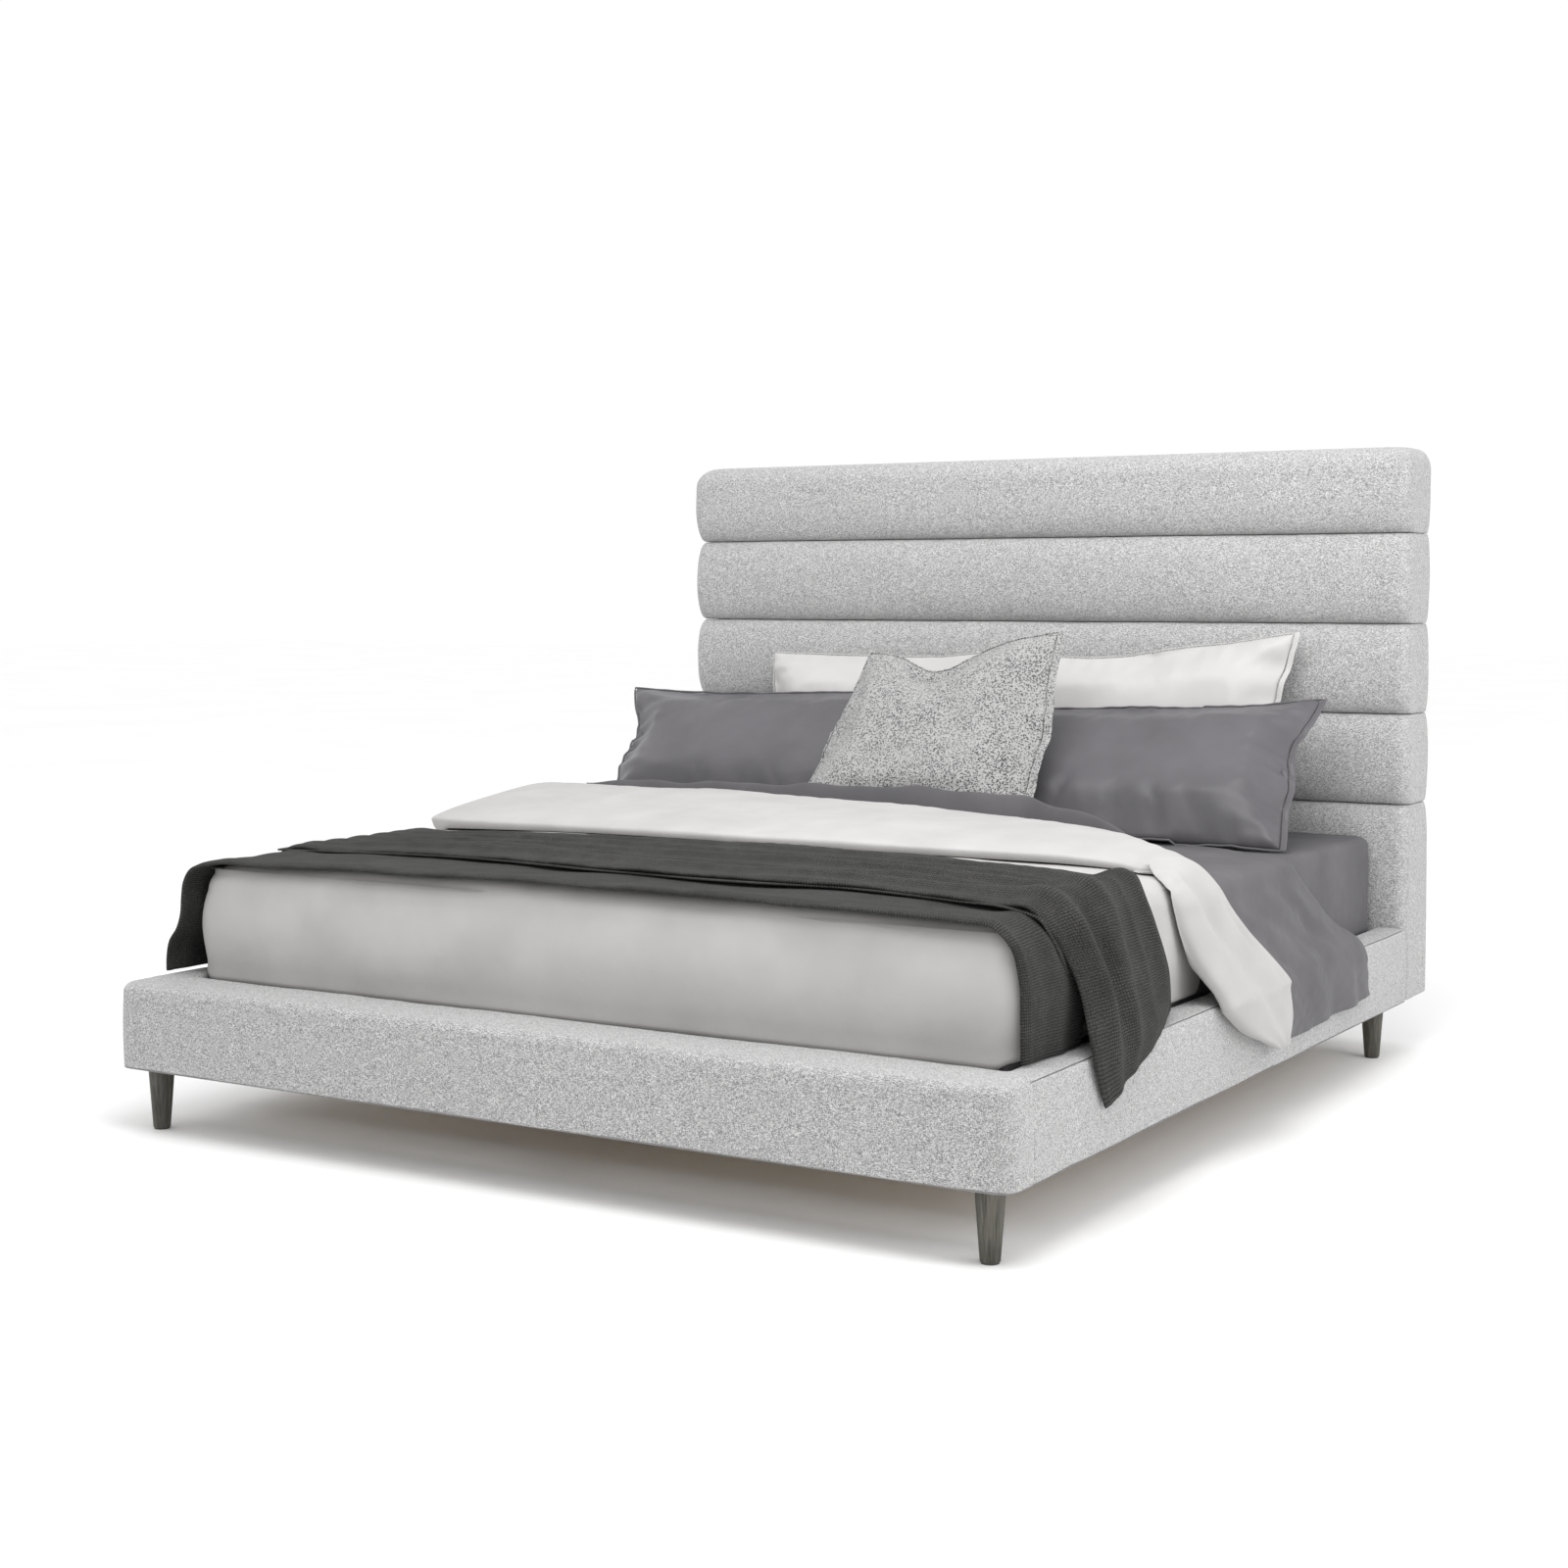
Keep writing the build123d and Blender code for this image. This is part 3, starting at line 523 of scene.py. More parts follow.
def pucker(rings, grooves, seed):
    """Fabric drawn in at the grooves, and slight unevenness elsewhere."""
    p = rings.copy()
    near = sum(bell(p[..., 2], g, 0.020) for g in grooves)
    pull = ripple(p * [1, 1, 0.25], 0.035, seed) * 0.0011 * near
    uneven = ripple(p, 0.33, seed + 1) * 0.0014 + ripple(p, 0.09, seed + 2) * 0.0004
    front = ease(1.10 - p[..., 1], 0, 0.04)
    p[..., 1] = np.maximum(p[..., 1] - (pull + uneven - 0.0022) * front, FRONT_Y)
    p[..., 0] += np.sign(p[..., 0]) * (pull + uneven) * 0.6 * ease(np.abs(p[..., 0]), 1.0, 1.04)
    return p


def flattened(ring, steps, rise):
    """Rings from the outline of a top face in to its middle line, a little crowned."""
    spine = ring.copy()
    spine[:, 0] = np.clip(ring[:, 0], -0.97, 0.97)
    spine[:, 1] = (ring[:, 1].min() + ring[:, 1].max()) / 2
    made = []
    for k in np.linspace(0, 1, steps + 1)[1:]:
        level = ring + (spine - ring) * (k * 0.985)
        level[:, 2] = ring[:, 2] + rise * math.sin(k * math.pi / 2)
        made.append(level)
    return made


def roll(index, z0, z1):
    """A full-width upholstered roll between two grooves."""
    t = np.sin(np.linspace(-math.pi / 2, math.pi / 2, 41))
    middle, reach = (z0 + z1) / 2, (z1 - z0) / 2 - SEAM_GAP
    q = (1 - np.abs(t) ** ROLL_POWER) ** (1 / ROLL_POWER)
    rings = [bulged(z0 + SEAM_GAP, 0, GROOVE_INSET)]
    rings += [bulged(middle + a * reach, b) for a, b in zip(t, q)]
    rings.append(bulged(z1 - SEAM_GAP, 0, GROOVE_INSET))
    return make_roll(f"headboard_roll_{index}", pucker(np.array(rings), (z0, z1), 10 * index),
                     f"headboard_channel_{index}")


def make_roll(name, rings, node):
    piece = loft(name, rings, UPHOLSTERY, sharp=75)
    return soft(piece, "upholstery", node)


def top_roll(z0, z1):
    """The top roll: it wraps over the top of the frame."""
    low_t = np.sin(np.linspace(-math.pi / 2, 0, 20))
    swell = z0 + 0.105
    rings = [bulged(z0 + SEAM_GAP, 0, GROOVE_INSET)]
    for a in low_t:
        rings.append(bulged(swell + a * (swell - z0 - SEAM_GAP), (1 - abs(a) ** ROLL_POWER) ** (1 / ROLL_POWER)))
    crest = z1 - 0.058
    for z in np.linspace(swell, crest, 5)[1:]:
        rings.append(bulged(z, 1.0, 0.0))
    for a in np.linspace(0, math.pi / 2, 13)[1:]:
        drop = 1 - math.cos(a)
        ring = plan_ring(HALF - 0.034 * drop, FRONT_Y + 0.052 * drop, BACK_Y - 0.012 * drop, CORNER + 0.02 * drop,
                         crest + (z1 - 0.003 - crest) * math.sin(a))
        rings.append(ring)
    rings += flattened(rings[-1], 4, 0.003)
    return make_roll("headboard_roll_1", pucker(np.array(rings), (z0,), 5), "headboard_channel_1")


def lower_panel(z0, z1):
    """The tall bottom panel, rounded over at its top like the rolls."""
    rings = [bulged(z0, 1, 0.006), bulged(z0 + 0.002, 1, 0.002), bulged(z0 + 0.006, 1)]
    swell = z1 - 0.110
    rings += [bulged(z, 1) for z in np.linspace(z0 + 0.02, swell, 16)]
    for a in np.sin(np.linspace(0, math.pi / 2, 20))[1:]:
        rings.append(bulged(swell + a * (z1 - SEAM_GAP - swell), (1 - a ** ROLL_POWER) ** (1 / ROLL_POWER)))
    rings.append(bulged(z1 - SEAM_GAP, 0, GROOVE_INSET))
    return make_roll("headboard_base_panel", pucker(np.array(rings), (z1,), 60), "headboard_lower_panel")


def back_cover():
    """The lining stapled over the back, with a turned hem round it."""
    a, b = low("headboard_back_cover"), high("headboard_back_cover")
    x = np.linspace(a[0] + 0.004, b[0] - 0.004, 60)
    z = np.linspace(a[2] + 0.004, b[2] - 0.004, 44)
    gx, gz = np.meshgrid(x, z)
    edge = np.minimum.reduce([gx - x[0], x[-1] - gx, gz - z[0], z[-1] - gz])
    y = b[1] - 0.0028 + 0.0022 * bell(edge, 0.012, 0.012) + 0.0002 * ripple(np.stack([gx, gz * 0, gz], -1), 0.3, 4)
    top = np.stack([gx, np.minimum(y, b[1]), gz], -1)[:, ::-1]
    piece = slab("headboard_lining", top, 0.0022, BACK_FABRIC, "frame")
    return soft(piece, "back_fabric", "headboard_back_cover")


GROOVES = [1.290, 1.066, 0.842, 0.618]
top_roll(GROOVES[0], high("headboard_channel_1")[2])
for index, (upper, lower) in enumerate(zip(GROOVES, GROOVES[1:]), start=2):
    roll(index, lower, upper)
lower_panel(RAIL_BOTTOM, GROOVES[-1])
back_cover()


# ---- Rails: one padded U round the mattress, sewn along its outer top edge ----
def rail_stations():
    """Outer and inner plan points round the U, and how far each station belongs to a side rail."""
    radius, tight = 0.038, 0.006
    seam = -1.107
    lining = 0.0008
    inner_x, inner_y = INNER_X - lining, INNER_Y + lining
    outer, inner, side = [], [], []
    run = np.concatenate([np.linspace(PANEL_Y, seam + 0.012, 84), seam + np.array([0.006, 0.003, 0, -0.003, -0.006]),
                          np.linspace(seam - 0.012, FOOT_Y + radius, 5)])
    for y in run:
        outer.append((HALF, y))
        inner.append((inner_x, max(y, inner_y + tight)))
        side.append(float(ease(y, seam - 0.004, seam + 0.002)))
    for a in np.linspace(0, math.pi / 2, 12)[1:]:
        outer.append((HALF - radius + radius * math.cos(a), FOOT_Y + radius - radius * math.sin(a)))
        inner.append((inner_x - tight + tight * math.cos(a), inner_y + tight - tight * math.sin(a)))
        side.append(0.0)
    for x in np.linspace(HALF - radius, 0, 46)[1:]:
        outer.append((x, FOOT_Y))
        inner.append((min(x, inner_x - tight), inner_y))
        side.append(0.0)
    outer, inner, side = np.array(outer), np.array(inner), np.array(side)
    flip = np.array([-1, 1])
    return (np.concatenate([outer, outer[-2::-1] * flip]), np.concatenate([inner, inner[-2::-1] * flip]),
            np.concatenate([side, side[-2::-1]]))


def rail_section(side, width):
    """(distance in from the outer face, height, seam depth) round one section, from the bottom outer edge up."""
    top_radius = 0.019 - 0.007 * side
    out = [(0.006 - 0.006 * math.sin(a), RAIL_BOTTOM + 0.006 - 0.006 * math.cos(a), 0)
           for a in np.linspace(0, math.pi / 2, 4)]
    swell = 0.0022
    for t in np.linspace(0, 1, 12)[1:-1]:
        z = RAIL_BOTTOM + 0.006 + t * (RAIL_TOP - RAIL_BOTTOM - 0.006 - top_radius)
        out.append((-swell * math.sin(math.pi * t), z, 0))
    seam = 0.95
    for a, notch in [(0, 0), (0.25, 0), (0.5, 0), (0.72, 0), (seam - 0.13, 0), (seam - 0.05, 1), (seam + 0.05, 1),
                     (seam + 0.13, 0), (1.2, 0), (1.38, 0), (math.pi / 2, 0)]:
        out.append((top_radius * (1 - math.cos(a)), RAIL_TOP - top_radius * (1 - math.sin(a)), notch))
    for t in np.linspace(0, 1, 8)[1:-1]:
        out.append((top_radius + t * (width - top_radius - 0.010), RAIL_TOP + 0.0015 * math.sin(math.pi * t), 0))
    for a in np.linspace(0, math.pi / 2, 6):
        out.append((width - 0.010 + 0.010 * math.sin(a), RAIL_TOP - 0.010 * (1 - math.cos(a)), 0))
    for t in np.linspace(0, 1, 7)[1:]:
        out.append((width, RAIL_TOP - 0.010 - t * (RAIL_TOP - 0.020 - RAIL_BOTTOM), 0))
    for a in np.linspace(0, math.pi / 2, 4)[1:]:
        out.append((width - 0.010 * (1 - math.cos(a)), RAIL_BOTTOM + 0.010 * (1 - math.sin(a)), 0))
    for t in np.linspace(0, 1, 5)[1:-1]:
        out.append((width - 0.010 - t * (width - 0.016), RAIL_BOTTOM, 0))
    return np.array(out)


def rails():
    """The covers of the three rails in one piece, with the welt under their outer edge."""
    outer, inner, side = rail_stations()
    rings = []
    for o, i, s in zip(outer, inner, side):
        across = i - o
        width = np.linalg.norm(across)
        across = across / width
        section = rail_section(s, width)
        turned_down = 0.0022 * bell(o[1], -1.107, 0.0028) * (abs(o[0]) > HALF - 1e-6)
        face = (section[:, 0] < 0.012) & (section[:, 1] < RAIL_TOP - 0.004)
        push = 0.0038 * section[:, 2] * s + turned_down * face
        place = section[:, 0] + push
        ring = np.column_stack([o[0] + across[0] * place, o[1] + across[1] * place,
                                section[:, 1] - 0.0042 * section[:, 2] * s])
        rings.append(ring)
    rings = np.array(rings)
    move = ripple(rings, 0.30, 31) * 0.0009 + ripple(rings, 0.07, 32) * 0.0003
    rings[..., 2] += move * ease(rings[..., 2], RAIL_TOP - 0.03, RAIL_TOP)
    outside = ease(np.abs(rings[..., 0]), 1.03, 1.05)
    rings[..., 0] += np.sign(rings[..., 0]) * move * outside
    rings[..., 1] += move * ease(-rings[..., 1], 1.18, 1.20)
    piece = loft("rail_covers", rings[::-1], UPHOLSTERY, sharp=60)
    soft(piece, "upholstery", "foot_rail_cover", "side_rail_cover_left", "side_rail_cover_right")
    hem = np.column_stack([outer, np.full(len(outer), RAIL_BOTTOM + 0.0022)])
    hem[:, :2] += (inner - outer) / np.linalg.norm(inner - outer, axis=1)[:, None] * 0.0026
    soft(tube("rail_bottom_welt", hem, 0.0022, BACK_FABRIC), "back_fabric")


rails()


# ---- Mattress and its sheets ----
BED = "made_mattress"
MATTRESS_LOW, MATTRESS_HIGH = low("mattress"), high("mattress")


def box_ring(half, front, back, radius, z, count=(70, 8, 60)):
    """A rounded rectangle seen from above, with the same count of points at any size."""
    n_x, n_turn, n_y = count
    turn = np.linspace(0, math.pi / 2, n_turn + 1)[1:-1]
    x = [np.linspace(-half + radius, half - radius, n_x)]
    y = [np.full(n_x, front)]
    x.append(half - radius + radius * np.sin(turn))
    y.append(front + radius - radius * np.cos(turn))
    x.append(np.full(n_y, half))
    y.append(np.linspace(front + radius, back - radius, n_y))
    x.append(half - radius + radius * np.cos(turn))
    y.append(back - radius + radius * np.sin(turn))
    x.append(np.linspace(half - radius, -half + radius, n_x))
    y.append(np.full(n_x, back))
    x.append(-half + radius - radius * np.sin(turn))
    y.append(back - radius + radius * np.cos(turn))
    x.append(np.full(n_y, -half))
    y.append(np.linspace(back - radius, front + radius, n_y))
    x.append(-half + radius - radius * np.cos(turn))
    y.append(front + radius - radius * np.sin(turn))
    x, y = np.concatenate(x), np.concatenate(y)
    return np.stack([x, y, np.full_like(x, z)], 1)


def shrunk(half, front, back, radius, z, share):
    """box_ring drawn in towards the middle, for the top or underside of a soft block."""
    ring = box_ring(half, front, back, radius, z)
    middle = (front + back) / 2
    ring[:, 0] *= 1 - share
    ring[:, 1] = middle + (ring[:, 1] - middle) * (1 - share)
    return ring


def block_rings(grow, bottom, top, edge, low_edge, steps=7):
    """A soft block from the middle of its underside to the middle of its top, as rings."""
    half = MATTRESS_HIGH[0] + grow
    front, back = MATTRESS_LOW[1] - grow, MATTRESS_HIGH[1] + grow
    radius = 0.040 + grow
    rings = [shrunk(half - low_edge, front + low_edge, back - low_edge, radius - low_edge * 0.5, bottom, s)
             for s in np.linspace(0.98, 0, steps)]
    for a in np.linspace(0, math.pi / 2, 5)[1:]:
        inset = low_edge * (1 - math.sin(a))
        rings.append(box_ring(half - inset, front + inset, back - inset, radius, bottom + low_edge * (1 - math.cos(a))))
    for t in np.linspace(0, 1, 9)[1:-1]:
        rings.append(box_ring(half, front, back, radius, bottom + low_edge + t * (top - bottom - low_edge - edge)))
    for a in np.linspace(0, math.pi / 2, 7):
        inset = edge * (1 - math.cos(a))
        rings.append(box_ring(half - inset, front + inset, back - inset, radius, top - edge * (1 - math.sin(a))))
    for s in np.linspace(0, 0.98, steps)[1:]:
        rings.append(shrunk(half - edge, front + edge, back - edge, radius, top, s))
    return np.array(rings)


def mattress():
    rings = block_rings(-0.002, MATTRESS_LOW[2] + 0.0004, MATTRESS_HIGH[2] - 0.001, 0.020, 0.012)
    under = rings[..., 2] < MATTRESS_LOW[2] + 0.002
    rings[..., 2] += under * 0.0006
    piece = loft("mattress_pad", rings, TICKING, BED, sharp=80)
    soft(piece, "ticking", "mattress")
    half, front, back = MATTRESS_HIGH[0] - 0.005, MATTRESS_LOW[1] + 0.005, MATTRESS_HIGH[1] - 0.005
    ring = box_ring(half, front, back, 0.036, MATTRESS_LOW[2] + 0.0035)
    soft(tube("mattress_welt", ring, 0.0030, TICKING, BED, closed=True), "ticking")


def thicken(piece, thickness):
    """Gives an open sheet its thickness, under its upper side."""
    solid = piece.modifiers.new("thickness", "SOLIDIFY")
    solid.thickness, solid.offset = thickness, -1


def fitted_sheet():
    """Pulled over the mattress, with creases at the head corners and a gathered hem."""
    bottom = low("fitted_sheet")[2]
    rings = block_rings(0.0012, bottom - 0.03, SHEET_TOP - 0.0035, 0.021, 0.0)
    keep = [r for r in rings if r[:, 2].mean() >= bottom - 0.001]
    first = box_ring(MATTRESS_HIGH[0] + 0.0012, MATTRESS_LOW[1] - 0.0012, MATTRESS_HIGH[1] + 0.0012, 0.0412, bottom)
    outside = np.array([first, first + [0, 0, 0.008]] + keep)
    p = outside.copy()
    corner = ease(np.abs(p[..., 0]), 0.86, 0.95) * ease(np.abs(p[..., 1]), 0.90, 1.0)
    side = ease(0.53 - p[..., 2], 0, 0.04)
    gather = ripple(p * [1, 1, 0.12], 0.028, 71) * 0.0022 * corner * side * ease(0.45 - p[..., 2], -0.05, 0.15)
    loose = ripple(p, 0.22, 72) * 0.0010 * side
    out = np.stack([np.sign(p[..., 0]) * ease(np.abs(p[..., 0]), 0.93, 0.96),
                    np.sign(p[..., 1]) * ease(np.abs(p[..., 1]), 0.98, 1.01)], -1)
    p[..., :2] += out * (gather + np.abs(loose))[..., None]
    p[..., 1] = np.minimum(p[..., 1], high("fitted_sheet")[1])
    top = ease(p[..., 2], 0.535, 0.541)
    p[..., 2] += ripple(p, 0.25, 73) * 0.0005 * top
    n, m = p.shape[:2]
    centre = np.array([[0, (MATTRESS_LOW[1] + MATTRESS_HIGH[1]) / 2, p[-1, :, 2].mean()]])
    faces = [list(f) for f in quads(n, m, wrap=True)]
    faces += [[(n - 1) * m + k, (n - 1) * m + (k + 1) % m, n * m] for k in range(m)]
    piece = make("fitted_sheet_cover", np.concatenate([p.reshape(-1, 3), centre]), faces, SHEET_GREY, BED)
    thicken(piece, 0.0011)
    soft(piece, "sheet_grey", "fitted_sheet")


mattress()
fitted_sheet()


def joined(name, pieces, material, body):
    """Several (points, faces, cloth) in one mesh."""
    points, faces, cloth, start = [], [], [], 0
    for p, f, c in pieces:
        points.append(p)
        cloth.append(c)
        faces += [[int(k) + start for k in face] for face in f]
        start += len(p)
    return make(name, np.concatenate(points), faces, material, body, cloth=np.concatenate(cloth))


def slab_parts(top, thickness):
    """slab() without the object: a closed sheet with rounded edges under a grid of points."""
    n, m = top.shape[:2]
    t = np.broadcast_to(np.asarray(thickness, float), (n, m))[..., None]
    normal = grid_normals(top)
    under = top - normal * t
    out = np.zeros_like(top)
    out[:, 0] += top[:, 0] - top[:, 1]
    out[:, -1] += top[:, -1] - top[:, -2]
    out[0] += top[0] - top[1]
    out[-1] += top[-1] - top[-2]
    size = np.linalg.norm(out, axis=-1)[..., None]
    out = np.where(size > 0, out / np.maximum(size, 1e-9), 0)
    i, j = edge_loop(n, m)
    rim = top[i, j] - normal[i, j] * t[i, j] * 0.5 + out[i, j] * t[i, j] * 0.45
    count, around = n * m, len(i)
    faces = [list(f) for f in quads(n, m)]
    faces += [list(f[::-1]) for f in quads(n, m, start=count)]
    flat_index = i * m + j
    for k in range(around):
        a, b = flat_index[k], flat_index[(k + 1) % around]
        ra, rb = 2 * count + k, 2 * count + (k + 1) % around
        faces.append([b, a, ra, rb])
        faces.append([rb, ra, a + count, b + count])
    flat = lengths(top).reshape(-1, 2)
    points = np.concatenate([top.reshape(-1, 3), under.reshape(-1, 3), rim])
    return points, faces, np.concatenate([flat, flat, flat[flat_index]])


def folded(grid, height):
    """A grid pushed out along its normals."""
    return grid + grid_normals(grid) * np.asarray(height)[..., None]


# ---- Flat sheet ----
def sheet_head(x):
    """Where the flat sheet ends, under the pillows."""
    return 0.62 - 0.235 * ease(x, 0.60, 0.945)


def crest_line(x):
    """The sheet is bunched up behind the turned-over duvet: where its crest runs, and how high."""
    places = [-0.98, -0.80, -0.20, 0.10, 0.35, 0.56, 0.73, 0.85, 0.95]
    middle = np.interp(x, places, [0.372, 0.372, 0.368, 0.364, 0.345, 0.250, 0.110, -0.01, -0.06])
    peak = np.interp(x, places, [0.640, 0.650, 0.664, 0.668, 0.658, 0.632, 0.600, 0.560, SHEET_TOP])
    wave = 0.003 * np.sin(x * 23 + 1) + 0.002 * np.sin(x * 41)
    return middle, np.maximum(peak + wave * ease(peak - SHEET_TOP, 0.0, 0.05), SHEET_TOP)


def flat_sheet():
    rows, top_columns, drop_columns = 88, 110, 84
    split = -0.13
    x = np.linspace(-0.966, 0.945, top_columns)
    head = sheet_head(x)
    share = np.linspace(0, 1, rows)[:, None]
    lower = np.stack(np.broadcast_arrays(x[None], -1.0 + (split + 1.0) * share, SHEET_TOP), -1)
    middle, peak = crest_line(x)
    rise = np.linspace(-1, 1, 26)
    along_crest = np.sign(rise) * np.abs(rise) ** 1.7 * 0.024
    bump = (1 - np.abs(rise) ** 2.6)
    y_rows = np.concatenate([split + (middle - 0.027 - split) * np.linspace(0, 1, 24)[:, None],
                             middle + along_crest[:, None],
                             middle + 0.027 + (head - middle - 0.027) * np.linspace(0, 1, rows - 50)[:, None]])
    z_rows = np.zeros_like(y_rows) + SHEET_TOP
    z_rows[24:50] += bump[:, None] * (peak - SHEET_TOP)[None]
    y_rows[24:50] += 0.006 * bump[:, None] * np.sin(x * 6.1 + 0.8)[None] * ease(peak - SHEET_TOP, 0.0, 0.05)
    upper = np.stack(np.broadcast_arrays(x[None], y_rows, z_rows), -1)
    foot_edge = [(0.945, -0.13, SHEET_TOP), (0.966, -0.12, 0.536), (0.974, -0.09, 0.485), (0.992, -0.03, 0.42),
                 (1.030, 0.05, 0.358), (1.055, 0.08, 0.325), (1.059, 0.12, 0.25), (1.059, 0.15, 0.186)]
    head_edge = [(0.945, 0.385, SHEET_TOP), (0.966, 0.402, 0.537), (0.976, 0.44, 0.495), (0.987, 0.50, 0.44),
                 (1.010, 0.585, 0.372), (1.043, 0.640, 0.334), (1.057, 0.655, 0.300), (1.060, 0.683, 0.204)]
    net = np.array([[np.array(a) * (1 - k) + np.array(b) * k for a, b in zip(foot_edge, head_edge)]
                    for k in (0, 0.25, 0.5, 0.75, 1)])
    fine = patch(net, 260, drop_columns)
    r = (y_rows[:, -1:] - y_rows[0, -1]) / (y_rows[-1, -1] - y_rows[0, -1])
    at = r[:, 0] * 259
    under = np.clip(at.astype(int), 0, 258)
    drop = fine[under] + (fine[under + 1] - fine[under]) * (at - under)[:, None, None]
    s = np.linspace(0, 1, drop_columns)[None]
    grown = ease(s, 0.03, 0.35)
    waves = (np.sin(2 * math.pi * (1.9 * r + 0.6 * s + 0.1)) * 0.0040
             + np.sin(2 * math.pi * (3.7 * r - 0.5 * s + 0.3)) * 0.0022)
    waves += 0.0060 * bell(r, 0.90 - 0.16 * s, 0.06) + 0.0050 * bell(r, 0.62 + 0.10 * s, 0.08)
    waves += 0.0024 * ripple(drop * [0.4, 1, 0.7], 0.085, 95) + 0.0008 * ripple(drop * [0.5, 1, 1], 0.032, 91)
    drop = folded(drop, (waves + 0.010) * grown)
    drop[:, 0] = upper[:, -1]
    wide = np.concatenate([upper, drop[:, 1:]], axis=1)
    near = np.interp(wide[..., 0], x, middle)
    behind = ease(wide[..., 1], near + 0.03, near + 0.06) * (1 - ease(wide[..., 0], 0.945, 0.962))
    long_folds = (0.0030 * bell(wide[..., 1], 0.395 + 0.018 * np.sin(wide[..., 0] * 5 + 1), 0.016)
                  + 0.0020 * bell(wide[..., 1], 0.44 - 0.02 * np.sin(wide[..., 0] * 3.7), 0.012)
                  + 0.0012 * (1 + ripple(wide * [0.35, 1, 1], 0.05, 93)))
    wide[..., 2] += long_folds * behind
    points = np.concatenate([lower[:-1].reshape(-1, 3), wide.reshape(-1, 3)])
    faces = [list(f) for f in quads(rows - 1, top_columns)]
    start, width = (rows - 1) * top_columns, wide.shape[1]
    for k in range(top_columns - 1):
        a = (rows - 2) * top_columns + k
        faces.append([a, a + 1, start + k + 1, start + k])
    faces += [list(f) for f in quads(rows, width, start=start)]
    piece = make("flat_sheet_draped", points, faces, SHEET_GREY, BED)
    thicken(piece, 0.0021)
    soft(piece, "sheet_grey", "flat_sheet")


# ---- Duvet ----
DUVET_FOOT = -1.030
DUVET_HALF = 0.982
DUVET_BACK = 0.26


def duvet_top(x, y):
    """Height of the duvet's upper side before the throw and the turned-over part lie on it."""
    rise = ease(y, -1.0, -0.25)
    crown = 1 - np.clip(np.abs(np.asarray(x) - 0.06) / 1.03, 0, 1) ** 2.2
    return 0.5525 + 0.012 * rise + (0.018 + 0.006 * rise) * crown


def duvet_skew(x):
    """How far the duvet's head edge is drawn towards the foot on the right, where its corner hangs."""
    return 0.38 * ease(x, 0.25, 0.95)


def duvet_ring(inset, share=0.0, front_out=0.0, half_out=0.0, radius=0.058):
    """One level of the duvet, inset from its outline, or drawn in by a share towards its middle."""
    half, front, back = DUVET_HALF - inset + half_out, DUVET_FOOT + inset - front_out, DUVET_BACK - inset
    ring = box_ring(half, front, back, max(radius - inset * 0.6, 0.01), 0.0, count=(110, 9, 76))
    middle = (front + back) / 2
    ring[:, 0] *= 1 - share
    ring[:, 1] = middle + (ring[:, 1] - middle) * (1 - share)
    ring[:, 1] -= duvet_skew(ring[:, 0]) * ease(ring[:, 1], -0.62, DUVET_BACK)
    ring[:, 2] = duvet_top(ring[:, 0], ring[:, 1])
    return ring


def duvet_main():
    under = SHEET_TOP + 0.0006
    lap = 0.056
    rings, tops = [], np.linspace(0.985, 0, 26)
    for s in tops:
        rings.append(duvet_ring(lap, s))
    edge = rings[-1][:, 2].copy()
    base = duvet_ring(0.0)
    head = ease(base[:, 1] + duvet_skew(base[:, 0]), DUVET_BACK - 0.075, DUVET_BACK - 0.004)
    tuck = bell(base[:, 1], DUVET_FOOT, 0.03) * ease(0.965 - np.abs(base[:, 0]), 0, 0.03)
    corner = ease(np.abs(base[:, 0]), 0.93, 0.965) * ease(-base[:, 1], 0.985, 1.02)
    floor_z = (0.3225 - 0.018 * tuck - 0.0055 * corner) * (1 - head) + (under + 0.002) * head
    for a in np.linspace(0, math.pi / 2, 9)[1:]:
        inset = lap * (1 - math.sin(a))
        ring = duvet_ring(inset)
        ring[:, 2] = np.maximum(edge - lap * (1 - math.cos(a)) * (1 - 0.75 * head), floor_z + 0.004)
        rings.append(ring)
    shoulder = rings[-1][:, 2].copy()
    for t in np.linspace(0, 1, 22)[1:]:
        swell = 0.010 * math.sin(math.pi * min(1.0, t * 1.15) ** 0.9) + 0.004 * t
        ring = duvet_ring(0.0, front_out=swell, half_out=swell * 0.55)
        ring[:, 2] = shoulder + (floor_z + 0.005 - shoulder) * t
        rings.append(ring)
    hem = duvet_ring(0.006)
    hem[:, 2] = floor_z
    rings.append(hem)
    for t in np.linspace(0, 1, 6):
        ring = duvet_ring(0.0128)
        ring[:, 2] = floor_z + 0.004 + (under - floor_z - 0.004) * t
        rings.append(ring)
    for s in np.linspace(0, 0.985, 6)[1:]:
        ring = duvet_ring(0.03, s)
        ring[:, 2] = under
        rings.append(ring)
    p = np.array(rings)
    outside = len(tops) + 8 + 21
    shown = p[:outside]
    foot = ease(-shown[..., 1], 0.99, 1.025)
    wide = ripple(shown * [1, 1, 1.6], 0.55, 201) * 0.0045 + ripple(shown, 0.16, 202) * 0.0016
    shown[..., 1] -= wide * foot
    sides = ease(np.abs(shown[..., 0]), 0.95, 0.975)
    shown[..., 0] += np.sign(shown[..., 0]) * wide * 0.5 * sides
    uneven = ripple(shown, 0.30, 203) * 0.0018 + ripple(shown, 0.09, 204) * 0.0006
    shown[..., 2] += uneven * ease(shown[..., 2], 0.53, 0.55)
    piece = loft("duvet_body", p, DUVET_WHITE, "duvet_layer")
    return soft(piece, "duvet_white", "duvet")


